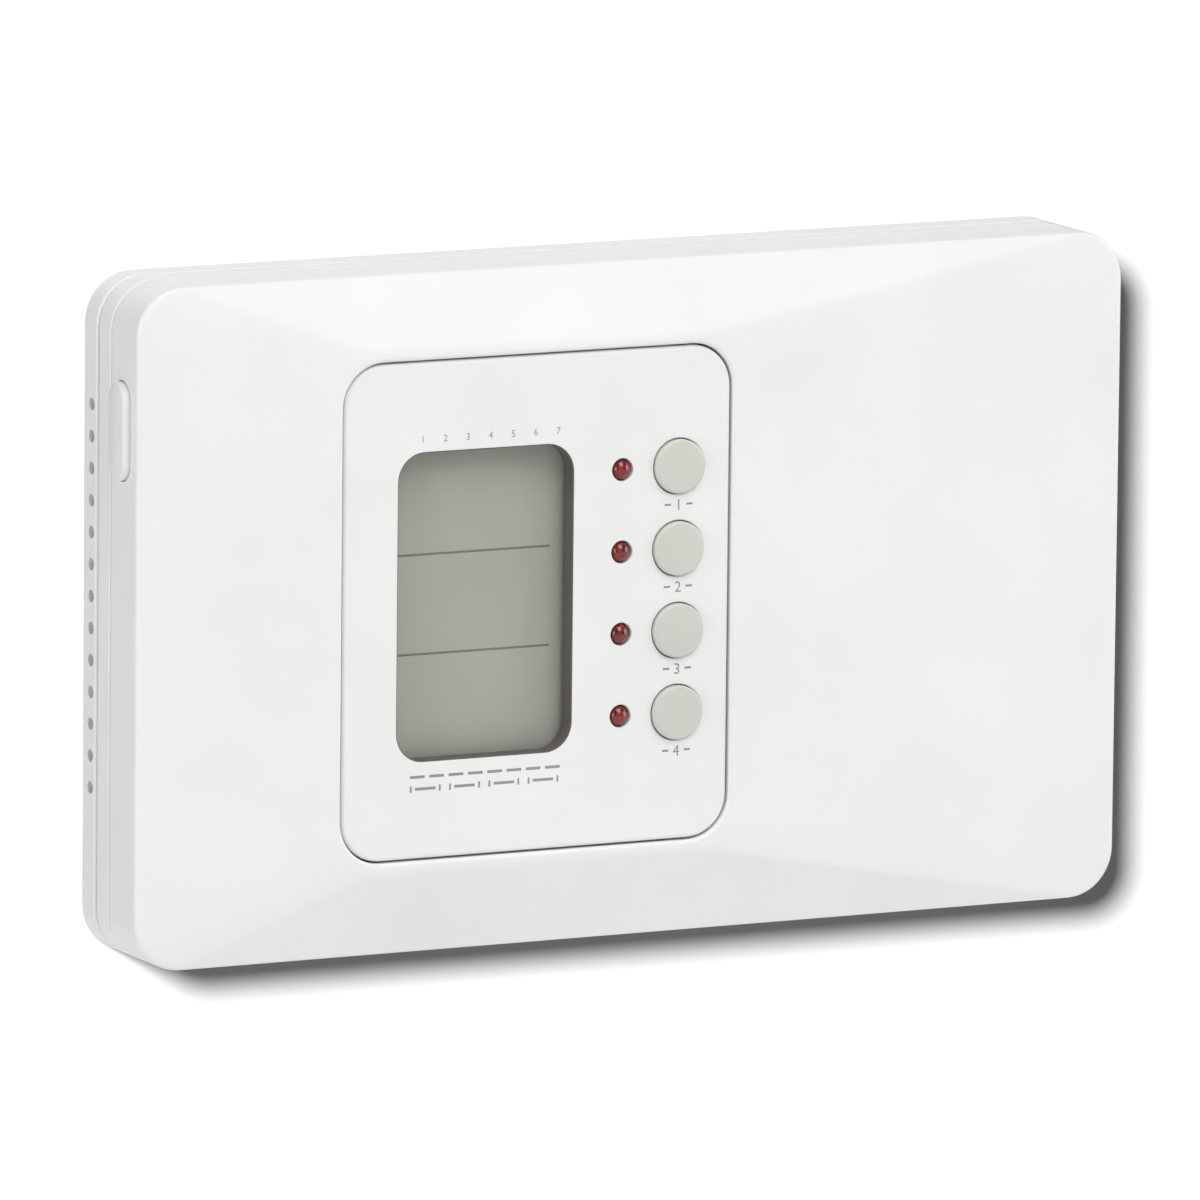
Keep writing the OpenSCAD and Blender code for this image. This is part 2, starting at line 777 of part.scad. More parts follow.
// Flat ribbon from the keypad board's underside up to the display board's underside
module keypad_ribbon() {
    thick = 0.3;
    wide = 10;
    y = 16;
    plug = 1.2;
    outer_x = key_mid_x - keypad_w / 2 + 5;
    inner_x = panel_left + panel_w - panel_wall - 3.6;
    low = keypad_under - 1.6;
    color([0.85, 0.85, 0.82]) on_wall() {
        block(outer_x, y, 3, wide, low, keypad_under);
        block((outer_x + inner_x) / 2, y, outer_x - inner_x, wide, low, low + thick);
        block(inner_x, y, thick, wide, low, display_under - plug);
        block(inner_x, y, 2 * plug, wide, display_under - plug, display_under);
    }
}

// ---- Main board ----

module main_board() {
    color(green) on_wall() difference() {
        translate([0, board_y, 0]) slab(board_w, board_h, 2, main_under, main_top);
        for (p = board_posts) post(p[0], p[1], small_screw_r + screw_play, main_under - eps, main_top + eps);
    }
}

module relay(i) {
    x = relay_x + (i - 1) * (relay_size[0] + relay_gap);
    color([0.1, 0.25, 0.5]) on_wall() {
        block(x, relay_y, relay_size[0], relay_size[1], main_top, main_top + relay_size[2] - 0.5);
        block(x, relay_y, relay_size[0] - 1, relay_size[1] - 1, main_top, main_top + relay_size[2]);
    }
}

module power_module() {
    size = [26, 17, 9.5];
    color(black) on_wall() {
        block(module_x, module_y, size[0], size[1], main_top, main_top + size[2]);
        block(module_x, module_y, size[0] - 1, size[1] - 1, main_top, main_top + size[2] + 0.4);
    }
}

module fuse() {
    color([0.8, 0.85, 0.85]) on_wall() translate([fuse_x, fuse_y, fuse_axis]) rotate([0, 90, 0]) {
        cylinder(r = 2.2, h = 2 * fuse_cap_at, center = true);
        for (s = [-1, 1]) translate([0, 0, s * fuse_cap_at]) cylinder(r = fuse_cap_r, h = 5, center = true);
    }
}

module fuse_clips() {
    color(brass) on_wall() for (s = [-1, 1]) difference() {
        block(fuse_x + s * fuse_cap_at, fuse_y, 4, 5.8, main_top, main_top + 4.4);
        translate([fuse_x + s * fuse_cap_at, fuse_y, fuse_axis]) rotate([0, 90, 0])
            cylinder(r = fuse_cap_r, h = 6, center = true);
    }
}

module varistor() {
    color([0.15, 0.3, 0.6]) on_wall() translate([-6, -4, main_top + 5.1]) rotate([90, 0, 0]) {
        rotate_extrude() {
            square([3.2, 3.6]);
            translate([3.2, 1.8]) circle(1.8, $fn = 24);
        }
    }
}

module capacitors() {
    color([0.12, 0.14, 0.2]) on_wall() for (x = [24, 40])
        translate([x, 30.2, main_top + 3.3]) rotate([90, 0, 90]) {
            cylinder(r = 3.15, h = 11);
            cylinder(r = 2.7, h = 11.6);
        }
}

module backup_cell() {
    color(steel) on_wall() {
        post(cell_x, cell_y, cell_r - 1.2, main_top + 0.5, main_top + 0.8);
        post(cell_x, cell_y, cell_r, main_top + 0.8, main_top + 0.5 + cell_thick);
    }
}

module cell_holder() {
    color(black) on_wall() difference() {
        post(cell_x, cell_y, cell_r + 1.2, main_top, main_top + 0.5 + cell_thick);
        post(cell_x, cell_y, cell_r + 0.1, main_top + 0.5, main_top + 6);
        block(cell_x, cell_y - cell_r, 9, 6, main_top + 0.5, main_top + 6);
    }
}

module terminal_block() {
    top = main_top + terminal_tall;
    color([0.2, 0.45, 0.3]) on_wall() difference() {
        union() {
            block(panel_x, terminal_y, poles * pole_pitch, terminal_h, main_top, top - 1.6);
            block(panel_x, terminal_y + 0.8, poles * pole_pitch, terminal_h - 1.6, main_top, top);
        }
        for (i = [0 : poles - 1]) {
            x = terminal_left + (i + 0.5) * pole_pitch;
            block(x, board_bottom + 3, 3.9, 7, main_top + 1.2, main_top + 5.6);
            post(x, board_bottom + 4.4, 1.75, main_top + 5, top + eps);
        }
    }
}

module terminal_screws() {
    color(steel) on_wall() for (i = [0 : poles - 1])
        screw(terminal_left + (i + 0.5) * pole_pitch, board_bottom + 4.4, 0.9, main_top + 6.6, 2.6, 1.6, 1.4);
}

module terminal_clamps() {
    clamp_w = 3.6;
    color(brass) on_wall() for (i = [0 : poles - 1]) {
        x = terminal_left + (i + 0.5) * pole_pitch;
        difference() {
            block(x, board_bottom + 4.2, clamp_w, 4, main_top + 1.3, main_top + 5.5);
            block(x, board_bottom + 4.2, clamp_w - 1, 5, main_top + 1.8, main_top + 4.4);
            post(x, board_bottom + 4.4, 0.92, main_top + 3.9, main_top + 6);
        }
    }
}

module header_base() {
    color(black) on_wall() block(header_x, header_y, 4, header_rows * header_pitch, main_top, main_top + 2.4);
}

module header_pins() {
    color(brass) on_wall() for (s = [-1, 1], i = [0 : header_rows - 1])
        block(header_x + s, header_y + (i - (header_rows - 1) / 2) * header_pitch, 0.5, 0.5,
            main_top + 2.4, display_under - 2.5);
}

module header_socket() {
    color(black) on_wall() difference() {
        block(header_x, header_y, 4, header_rows * header_pitch, main_top + 2.5, display_under);
        for (s = [-1, 1], i = [0 : header_rows - 1])
            block(header_x + s, header_y + (i - (header_rows - 1) / 2) * header_pitch, 0.7, 0.7,
                main_top + 2, display_under - 2);
    }
}

// ---- Cable clamp and screws ----

module cable_clamp() {
    color([0.85, 0.85, 0.83]) on_wall() difference() {
        translate([0, clamp_y, 0]) slab(2 * clamp_x + 6, 5.4, 2.6, clamp_under, clamp_under + 2);
        for (s = [-1, 1])
            post(s * clamp_x, clamp_y, small_screw_r + screw_play, clamp_under - eps, clamp_under + 3);
    }
}

module clamp_screws() {
    color(steel) on_wall() for (s = [-1, 1])
        screw(s * clamp_x, clamp_y, small_screw_r, clamp_under + 2, 5, 2, 1.4);
}

module main_board_screws() {
    color(steel) on_wall() for (p = board_posts)
        screw(p[0], p[1], small_screw_r, main_top, 3.6, 2, 1.3);
}

// They go in from behind, into the posts of the control panel
module display_screws() {
    color(steel) on_wall() for (p = display_posts)
        translate([0, 0, 2 * display_under]) mirror([0, 0, 1])
            screw(p[0], p[1], small_screw_r - 0.1, display_under, 4.4, 1.9, 1.2);
}

module keypad_screws() {
    color(steel) on_wall() for (p = keypad_posts)
        translate([0, 0, 2 * keypad_under]) mirror([0, 0, 1])
            screw(p[0], p[1], small_screw_r, keypad_under, 3.4, 1.9, 1.2);
}

module case_screws() {
    color(steel) on_wall() for (p = case_posts)
        screw(p[0], p[1], case_screw_r, deck_top - recess_deep, 7, 2.8, 1.9);
}

wall_plate();
mid_case();
control_panel();
door();
latch_button();
latch_spring();
hinge_pins();
lcd_frame();
lcd_lens();
lcd_glass();
lcd_backing();
lcd_pins();
led(1);  // led_1
led(2);  // led_2
led(3);  // led_3
led(4);  // led_4
channel_button(1);  // channel_button_1
channel_button(2);  // channel_button_2
channel_button(3);  // channel_button_3
channel_button(4);  // channel_button_4
channel_switches();
display_board();
microcontroller();
clock_crystal();
program_key(1);  // program_key_1
program_key(2);  // program_key_2
program_key(3);  // program_key_3
program_key(4);  // program_key_4
program_key(5);  // program_key_5
program_key(6);  // program_key_6
key_switches();
keypad_board();
keypad_ribbon();
main_board();
relay(1);  // relay_1
relay(2);  // relay_2
relay(3);  // relay_3
relay(4);  // relay_4
power_module();
fuse();
fuse_clips();
varistor();
capacitors();
backup_cell();
cell_holder();
terminal_block();
terminal_screws();
terminal_clamps();
header_base();
header_pins();
header_socket();
cable_clamp();
clamp_screws();
main_board_screws();
display_screws();
keypad_screws();
case_screws();
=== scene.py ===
import json
import math

import bmesh
import bpy
from mathutils import Matrix, Vector
from mathutils.geometry import tessellate_polygon


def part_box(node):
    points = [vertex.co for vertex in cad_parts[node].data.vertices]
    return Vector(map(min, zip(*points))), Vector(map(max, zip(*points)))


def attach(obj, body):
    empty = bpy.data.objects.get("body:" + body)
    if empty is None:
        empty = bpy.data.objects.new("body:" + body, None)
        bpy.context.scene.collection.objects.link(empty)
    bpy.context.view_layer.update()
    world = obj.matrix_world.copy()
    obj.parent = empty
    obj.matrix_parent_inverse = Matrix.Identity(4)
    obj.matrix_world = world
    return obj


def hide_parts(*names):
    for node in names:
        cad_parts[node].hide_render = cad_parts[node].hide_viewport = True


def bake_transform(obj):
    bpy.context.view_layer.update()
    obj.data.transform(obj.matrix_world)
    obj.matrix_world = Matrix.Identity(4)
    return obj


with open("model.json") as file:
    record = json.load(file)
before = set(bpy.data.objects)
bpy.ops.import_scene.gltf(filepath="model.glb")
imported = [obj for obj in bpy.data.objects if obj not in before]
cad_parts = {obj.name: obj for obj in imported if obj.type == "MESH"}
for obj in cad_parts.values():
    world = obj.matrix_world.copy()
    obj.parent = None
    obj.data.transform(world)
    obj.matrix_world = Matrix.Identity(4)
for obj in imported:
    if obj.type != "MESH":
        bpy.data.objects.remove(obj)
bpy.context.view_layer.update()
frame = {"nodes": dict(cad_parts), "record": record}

# The programmable timer's visible pieces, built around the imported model.
# Sizes are in millimetres: x to the right, up, and out from the wall. at() turns them into metres in the
# model's frame, where the timer stands out from the wall along -Y. "left" and "right" are as seen from
# the front. Places come from the boxes of the CAD nodes, and the named sizes below repeat the CAD's.

MM = 0.001

ARC_STEPS = 10  # segments in a quarter turn of an outline
ROUND_STEPS = 5  # segments in the rounding of an edge
TURN_STEPS = 48  # segments round a button or a hole
POST_STEPS = 32  # segments round a post, a rod or a light
MERGE = 1e-7  # metres, points closer than this are one point
OVERLAP = 1.0  # how far a cutting tool reaches past the surface that it cuts

CASE_RADIUS = 7.0
PANEL_RADIUS = 6.0
PANEL_WALL = 1.6
OPENING_RADIUS = 4.0
OPENING_LINER = 0.12  # how thick the display frame shows round its opening
DOOR_WALL = 2.0
FASCIA = 2.0  # thickness of the control panel's front
PANEL_GAP = 0.28  # between the control panel and the door
CASE_EDGE = 0.35  # rounding of the case mouldings' edges

CHANNELS = 4
KEYS = 6


# ---- The frame's sizes, in millimetres ----

class Extent:
    """The box of a CAD node at rest, in millimetres."""

    def __init__(self, node):
        low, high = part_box(node)
        self.left = low.x / MM
        self.right = high.x / MM
        self.bottom = low.z / MM
        self.top = high.z / MM
        self.back = -high.y / MM
        self.front = -low.y / MM
        self.x = (self.left + self.right) / 2
        self.up = (self.bottom + self.top) / 2
        self.out = (self.back + self.front) / 2
        self.wide = self.right - self.left
        self.tall = self.top - self.bottom

    def ring(self, grow, radius, out):
        """A rounded rectangle that is larger than the box by grow on each side."""
        return rounded_rect(self.x, self.up, self.wide + 2 * grow, self.tall + 2 * grow, radius, out)


middle = Extent("mid_case")
door = Extent("door")
panel = Extent("control_panel")
bezel = Extent("lcd_frame")
lens = Extent("lcd_lens")
display = Extent("lcd_glass")
latch = Extent("latch_button")
pins = Extent("hinge_pins")

RIM_OUT = 18.0  # front edge of the door, out from the wall
BEZEL_BORDER = 2.5
opening_left = bezel.left + BEZEL_BORDER
opening_right = bezel.right - BEZEL_BORDER
opening_bottom = bezel.bottom + BEZEL_BORDER
opening_top = bezel.top - BEZEL_BORDER


def at(x, up, out):
    return Vector((x, -out, up)) * MM


# ---- Outlines and skins ----

def rounded_rect(x, up, wide, tall, radius, out):
    """A ring of points round a rectangle with rounded corners, parallel to the wall."""
    ring = []
    for quarter, (side_x, side_up) in enumerate(((1, 1), (-1, 1), (-1, -1), (1, -1))):
        middle_x = x + side_x * (wide / 2 - radius)
        middle_up = up + side_up * (tall / 2 - radius)
        for step in range(ARC_STEPS + 1):
            angle = math.pi / 2 * (quarter + step / ARC_STEPS)
            ring.append(at(middle_x + radius * math.cos(angle), middle_up + radius * math.sin(angle), out))
    return ring


def full_turn(steps):
    """Evenly spaced angles round a circle."""
    return [2 * math.pi * step / steps for step in range(steps)]


def quarter_turn(steps):
    """Evenly spaced angles from 0 to a right angle."""
    return [math.pi / 2 * step / steps for step in range(steps + 1)]


def circle(x, up, radius, out, steps=TURN_STEPS):
    """A ring of points round a circle, parallel to the wall."""
    return [at(x + radius * math.cos(a), up + radius * math.sin(a), out) for a in full_turn(steps)]


def case_ring(inset, out):
    return rounded_rect(0, 0, door.wide - 2 * inset, door.tall - 2 * inset, CASE_RADIUS - inset, out)


def panel_ring(grow, out):
    return panel.ring(grow, PANEL_RADIUS + grow, out)


def opening_ring(grow, out):
    return bezel.ring(grow - BEZEL_BORDER, OPENING_RADIUS + grow, out)


def edge_turn(radius, steps=ROUND_STEPS):
    """(inset, drop) pairs of an edge rounding, from the side wall up to the face."""
    return [(radius * (1 - math.cos(a)), radius * (1 - math.sin(a))) for a in quarter_turn(steps)]


def bend(start, corner, end, steps=ROUND_STEPS):
    """Rings that turn smoothly from the ring start to the ring end, drawn towards the ring corner."""
    return [[a * (1 - t) ** 2 + c * 2 * t * (1 - t) + b * t ** 2 for a, c, b in zip(start, corner, end)]
            for t in (step / steps for step in range(steps + 1))]


def skin(bm, rings, closed=False):
    """Joins neighbouring rings with faces, and the last to the first if closed. Returns the rows of
    vertices."""
    rows = [[bm.verts.new(point) for point in ring] for ring in rings]
    following_rows = rows[1:] + rows[:1] if closed else rows[1:]
    for row, following in zip(rows, following_rows):
        for i in range(len(row)):
            j = (i + 1) % len(row)
            bm.faces.new((row[i], row[j], following[j], following[i]))
    return rows


def cap(bm, outline, holes=()):
    """Fills a flat outline of vertices with as few faces as it can, leaving its holes open."""
    if not holes:
        bm.faces.new(outline)
        return
    loops = [outline, *holes]
    verts = [vert for loop in loops for vert in loop]
    flat = [[vert.co / MM for vert in loop] for loop in loops]
    faces = [bm.faces.new([verts[i] for i in triangle]) for triangle in tessellate_polygon(flat)]
    filled = set(faces)
    edges = {edge for face in faces for edge in face.edges}
    inner = [edge for edge in edges if len(edge.link_faces) == 2 and filled.issuperset(edge.link_faces)]
    bmesh.ops.dissolve_limit(bm, angle_limit=math.radians(1), verts=[], edges=inner)


def moulding(bm, rings, holes=()):
    """A closed solid. rings run from the edge of its front face over its sides to the edge of its back
    face, and each hole's rings run from the front face to the back face."""
    rows = skin(bm, rings)
    hole_rows = [skin(bm, hole) for hole in holes]
    cap(bm, rows[0], [hole[0] for hole in hole_rows])
    cap(bm, rows[-1], [hole[-1] for hole in hole_rows])


def hole_rings(ring_at, front, back, edge, steps=3):
    """Rings down a hole's wall, from its rounded front edge. ring_at(grow, out) is its outline."""
    rings = [ring_at(inset, front - drop) for inset, drop in reversed(edge_turn(edge, steps))]
    return rings + [ring_at(0, back)]


def turned(bm, x, up, profile, steps=TURN_STEPS):
    """A closed solid turned about an axis that points away from the wall. profile is (radius, out) pairs,
    and its ends are closed by flat caps."""
    moulding(bm, [circle(x, up, radius, out, steps) for radius, out in profile])


def slab(bm, ring_at, back, front, edge):
    """A plate with rounded front and back edges. ring_at(inset, out) is its outline."""
    turn = edge_turn(edge, 3)
    rings = [ring_at(inset, front - drop) for inset, drop in reversed(turn)]
    rings += [ring_at(inset, back + drop) for inset, drop in turn]
    moulding(bm, rings)


def block(bm, left, right, up, half, back, front, edge=0.15):
    """A box with slightly rounded corners and edges. It reaches half above and below its middle, up."""
    def ring_at(inset, out):
        return rounded_rect((left + right) / 2, up, right - left - 2 * inset, 2 * (half - inset), edge * 1.5,
                            out)

    slab(bm, ring_at, back, front, edge)


def side_rod(bm, left, right, up, out, radius, steps=24):
    """A round rod that lies along x."""
    moulding(bm, [[at(x, up + radius * math.cos(a), out + radius * math.sin(a)) for a in full_turn(steps)]
                  for x in (left, right)])


def upright_rod(bm, x, low, high, out, radius):
    """A round rod that stands upright."""
    moulding(bm, [[at(x + radius * math.cos(a), up, out + radius * math.sin(a))
                   for a in full_turn(POST_STEPS)] for up in (low, high)])


# ---- Pieces ----

def mesh_object(name, bm):
    """An object from a finished bmesh: merged, with its normals outwards."""
    bmesh.ops.remove_doubles(bm, verts=bm.verts, dist=MERGE)
    bmesh.ops.dissolve_degenerate(bm, edges=bm.edges, dist=MERGE)
    bmesh.ops.recalc_face_normals(bm, faces=bm.faces)
    mesh = bpy.data.meshes.new(name)
    bm.to_mesh(mesh)
    bm.free()
    obj = bpy.data.objects.new(name, mesh)
    bpy.context.scene.collection.objects.link(obj)
    return obj


def shaped(obj, tool_bm, operation):
    """Adds a tool's solids to obj, or cuts them from it. The solids mustn't touch each other."""
    tool = mesh_object("tool", tool_bm)
    modifier = obj.modifiers.new("shape", "BOOLEAN")
    modifier.operation = operation
    modifier.solver = "EXACT"
    modifier.object = tool
    evaluated = obj.evaluated_get(bpy.context.evaluated_depsgraph_get())
    made = bpy.data.meshes.new_from_object(evaluated)
    obj.modifiers.clear()
    obj.data = made
    bpy.data.objects.remove(tool)


def smooth(obj, sharp_degrees=32):
    """Smooth shading that keeps the real edges and lets large faces stay flat."""
    for polygon in obj.data.polygons:
        polygon.use_smooth = True
    obj.data.set_sharp_from_angle(angle=math.radians(sharp_degrees))
    weighted = obj.modifiers.new("normals", "WEIGHTED_NORMAL")
    weighted.keep_sharp = True


def paint(obj, material):
    obj.data.materials.clear()
    obj.data.materials.append(material)


def add(obj, body, slot, *nodes, look=None):
    """Puts a piece on its body, in place of the CAD nodes that it stands for. look is its material when
    that isn't the slot's own."""
    smooth(obj)
    paint(obj, look or materials[slot])
    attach(obj, body)
    if nodes:
        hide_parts(*nodes)


# ---- Materials ----

class Look:
    """A node material being made: a Principled shader and the textures that feed it, in object space."""

    def __init__(self, name):
        self.material = bpy.data.materials.new(name)
        self.material.use_nodes = True
        self.tree = self.material.node_tree
        self.shader = self.tree.nodes["Principled BSDF"]
        self.place = self.node("ShaderNodeTexCoord").outputs["Object"]

    def node(self, kind, **settings):
        made = self.tree.nodes.new(kind)
        for key, value in settings.items():
            setattr(made, key, value)
        return made

    def link(self, source, target):
        self.tree.links.new(source, target)

    def feed(self, node, **values):
        """Sets a node's sockets: a number or colour as it is, and another node's output by a link."""
        for key, value in values.items():
            socket = node.inputs[key.replace("_", " ")]
            if isinstance(value, bpy.types.NodeSocket):
                self.link(value, socket)
            elif isinstance(value, tuple):
                socket.default_value = (*value, 1.0)
            else:
                socket.default_value = value

    def set(self, **values):
        """Sets the shader's sockets, and returns the material."""
        self.feed(self.shader, **values)
        return self.material

    def noise(self, size, detail=3.0, roughness=0.5):
        """Noise whose features are about size millimetres across."""
        node = self.node("ShaderNodeTexNoise")
        self.feed(node, Scale=1 / (size * MM), Detail=detail, Roughness=roughness, Vector=self.place)
        return node.outputs["Fac"]

    def cells(self, size):
        """Cells about size millimetres across."""
        node = self.node("ShaderNodeTexVoronoi")
        self.feed(node, Scale=1 / (size * MM), Vector=self.place)
        return node.outputs["Distance"]

    def between(self, value, low, high):
        """Maps the middle of a texture's range, where most of it lies, to low..high."""
        node = self.node("ShaderNodeMapRange")
        self.feed(node, From_Min=0.3, From_Max=0.7, To_Min=low, To_Max=high, Value=value)
        return node.outputs["Result"]

    def colours(self, value, *stops):
        """A colour ramp over two (position, colour) stops."""
        node = self.node("ShaderNodeValToRGB")
        for element, (position, colour) in zip(node.color_ramp.elements, stops):
            element.position = position
            element.color = (*colour, 1.0)
        self.feed(node, Fac=value)
        return node.outputs["Color"]

    def bump(self, height, strength, distance, over=None):
        """Bump of distance millimetres."""
        node = self.node("ShaderNodeBump")
        self.feed(node, Strength=strength, Distance=distance * MM, Height=height)
        if over is not None:
            self.feed(node, Normal=over)
        return node.outputs["Normal"]


def shade(colour, factor):
    return tuple(min(1.0, channel * factor) for channel in colour)


def moulded_plastic(name, colour, roughness, grain=0.35, variation=0.02, depth=0.012):
    """Moulded plastic: a fine spark-eroded grain, faint flow marks and slightly uneven gloss. grain is
    its size and depth its depth, in millimetres."""
    look = Look(name)
    flow = look.noise(22.0, detail=2.0)
    fine = look.noise(grain, detail=4.0, roughness=0.6)
    tint = look.colours(flow, (0.3, shade(colour, 1 - variation)), (0.7, shade(colour, 1 + variation)))
    waves = look.bump(flow, 0.15, 0.05)
    grained = look.bump(fine, 0.35, depth, over=waves)
    gloss_map = look.between(look.noise(6.0), roughness - 0.04, roughness + 0.05)
    return look.set(Base_Color=tint, Roughness=gloss_map, Normal=grained, IOR=1.5)


def display_face(name, colour):
    """The display seen through its polariser: an even grey-green with a faint mottle."""
    look = Look(name)
    film = look.noise(9.0, detail=2.0)
    fine = look.noise(0.25, detail=2.0)
    tint = look.colours(film, (0.25, shade(colour, 0.97)), (0.75, shade(colour, 1.03)))
    return look.set(Base_Color=tint, Roughness=look.between(fine, 0.30, 0.38),
                    Normal=look.bump(fine, 0.05, 0.001), Specular_IOR_Level=0.3)


def clear_window(name, colour, opacity):
    """Clear moulded window: nearly invisible, with a soft gloss."""
    look = Look(name)
    haze = look.noise(3.0, detail=3.0)
    return look.set(Base_Color=look.colours(haze, (0.3, shade(colour, 0.98)), (0.7, colour)),
                    Roughness=look.between(haze, 0.25, 0.32), Normal=look.bump(haze, 0.05, 0.01),
                    Alpha=opacity, Specular_IOR_Level=0.25)


def red_lens(name, colour):
    """Red epoxy of a light: clear over a darker chip, with a smooth wet gloss."""
    look = Look(name)
    cloud = look.noise(1.1, detail=1.0)
    tint = look.colours(cloud, (0.35, shade(colour, 0.6)), (0.65, shade(colour, 1.25)))
    return look.set(Base_Color=tint, Roughness=look.between(cloud, 0.08, 0.16),
                    Normal=look.bump(cloud, 0.1, 0.02), Coat_Weight=0.6, Coat_Roughness=0.05)


def solder_mask(name, colour):
    """A circuit board: solder mask with a lighter pattern that suggests the tracks under it."""
    look = Look(name)
    tracks = look.node("ShaderNodeTexBrick", offset=0.37, squash=1.6)
    upright = look.node("ShaderNodeMapping")
    upright.inputs["Rotation"].default_value = (math.pi / 2, 0, 0)
    look.feed(upright, Vector=look.place)
    look.feed(tracks, Scale=1 / (9 * MM), Mortar_Size=0.035, Color1=shade(colour, 0.85), Color2=colour,
              Mortar=shade(colour, 1.9), Vector=upright.outputs["Vector"])
    weave = look.noise(0.6, detail=2.0)
    raised = look.bump(tracks.outputs["Fac"], 0.5, 0.035)
    return look.set(Base_Color=tracks.outputs["Color"], Roughness=look.between(weave, 0.28, 0.42),
                    Normal=look.bump(weave, 0.2, 0.01, over=raised))


def plated_metal(name, colour, roughness, spangle=1.2):
    """Plated metal: small crystals in the plating and fine rolling marks."""
    look = Look(name)
    crystals = look.cells(spangle)
    marks = look.noise(0.3, detail=5.0, roughness=0.7)
    tint = look.colours(crystals, (0.1, shade(colour, 0.86)), (0.7, shade(colour, 1.08)))
    return look.set(Base_Color=tint, Roughness=look.between(marks, roughness - 0.08, roughness + 0.12),
                    Normal=look.bump(marks, 0.3, 0.006), Metallic=1.0)


LOOKS = {  # what makes each slot's material, its colour, and that function's other values
    "case_white": (moulded_plastic, (0.84, 0.84, 0.835), 0.36),
    "tab_white": (moulded_plastic, (0.80, 0.805, 0.79), 0.32),
    "button_grey": (moulded_plastic, (0.60, 0.61, 0.56), 0.42, 0.25, 0.03),
    "key_grey": (moulded_plastic, (0.52, 0.53, 0.50), 0.45, 0.25, 0.03),
    "frame_black": (moulded_plastic, (0.12, 0.105, 0.105), 0.45, 0.2, 0.08),
    "window_clear": (clear_window, (0.55, 0.57, 0.53), 0.08),
    "display_grey": (display_face, (0.425, 0.435, 0.375)),
    "reflector": (display_face, (0.75, 0.76, 0.72)),
    "led_red": (red_lens, (0.20, 0.006, 0.006)),
    "board_green": (solder_mask, (0.04, 0.20, 0.09)),
    "component_black": (moulded_plastic, (0.03, 0.03, 0.035), 0.5, 0.15, 0.1),
    "relay_blue": (moulded_plastic, (0.03, 0.08, 0.28), 0.3, 0.5, 0.06),
    "terminal_green": (moulded_plastic, (0.07, 0.26, 0.13), 0.4, 0.3, 0.06),
    "nylon_white": (moulded_plastic, (0.75, 0.75, 0.70), 0.5, 0.3, 0.03),
    "fuse_glass": (clear_window, (0.85, 0.90, 0.88), 0.45),
    "zinc_steel": (plated_metal, (0.60, 0.61, 0.63), 0.32),
    "contact_brass": (plated_metal, (0.72, 0.56, 0.24), 0.28),
}
materials = {name: make(name, *values) for name, (make, *values) in LOOKS.items()}
print_ink = moulded_plastic("print_ink", (0.28, 0.28, 0.285), 0.6, grain=0.2, variation=0.08, depth=0.004)
line_ink = moulded_plastic("line_ink", (0.13, 0.133, 0.118), 0.5, grain=0.2, variation=0.05, depth=0.002)


# ---- Case: wall plate ----

SLOT_PITCH = 60.3
SLOT_DROP = 35.0
SLOT_LENGTH = 8.0
SLOT_WIDTH = 4.2
KEYHOLE_UP = 40.0
KEYHOLE_RADIUS = 4.0
KEYHOLE_NECK = 6.0
WINDOW_WIDE = 44.0  # the window that the cables come in by
WINDOW_TALL = 13.0
WINDOW_UP = -35.5
WINDOW_RADIUS = 1.0
PLATE_FLOOR = 1.6
PLATE_RIM = 4.2
PLATE_GROOVE = 5.0
PLATE_LIP = 6.6
GROOVE_INSET = 0.8
LIP_INSET = 2.1
CAVITY_INSET = 3.0
VENTS = 13
VENT_PITCH = 4.5
VENT_RADIUS = 0.9
VENT_OUT = 2.7
VENT_UP = 2.9
VENT_REACH = 0.5  # how far a vent's cutting rod reaches past the wall on each side


def corners(across, up, middle_up=0.0):
    """The four (x, up) places of a set of posts or screws."""
    return [(side * across, middle_up + level * up) for side in (-1, 1) for level in (-1, 1)]


CASE_SCREWS = corners(67.0, 40.6)
POSTS = (  # places, radius, and how far the tip is out from the wall
    (CASE_SCREWS, 2.8, 11.4),
    (corners(62.0, 24.0, 6.0), 3.0, 3.0),
    (((-17.0, -25.3), (17.0, -25.3)), 2.5, 5.6),
)


def keyhole_ring(grow, out):
    """A round hole with a narrow neck above it."""
    half = SLOT_WIDTH / 2 + grow
    radius = KEYHOLE_RADIUS + grow
    start = math.acos(half / radius)
    turn = math.pi + 2 * start
    ring = []
    for step in range(TURN_STEPS + 1):
        angle = math.pi - start + turn * step / TURN_STEPS
        ring.append(at(radius * math.cos(angle), KEYHOLE_UP + radius * math.sin(angle), out))
    neck_up = KEYHOLE_UP + KEYHOLE_NECK - SLOT_WIDTH / 2
    for step in range(ARC_STEPS + 1):
        angle = math.pi * step / ARC_STEPS
        ring.append(at(half * math.cos(angle), neck_up + half * math.sin(angle), out))
    return ring


def through(ring_at):
    """Rings through the wall plate's floor, from its inner face to its rounded edge at the back."""
    return [ring_at(0, PLATE_FLOOR)] + [ring_at(inset, drop) for inset, drop in edge_turn(0.2, 3)]


def plate_holes():
    """Two slots, the cable window and the keyhole."""
    def slot_at(side):
        return lambda grow, out: rounded_rect(
            side * SLOT_PITCH / 2, -SLOT_DROP, SLOT_LENGTH + 2 * grow, SLOT_WIDTH + 2 * grow,
            SLOT_WIDTH / 2 + grow, out)

    def window(grow, out):
        return rounded_rect(0, WINDOW_UP, WINDOW_WIDE + 2 * grow, WINDOW_TALL + 2 * grow,
                            WINDOW_RADIUS + grow, out)

    return [through(ring_at) for ring_at in (slot_at(-1), slot_at(1), window, keyhole_ring)]


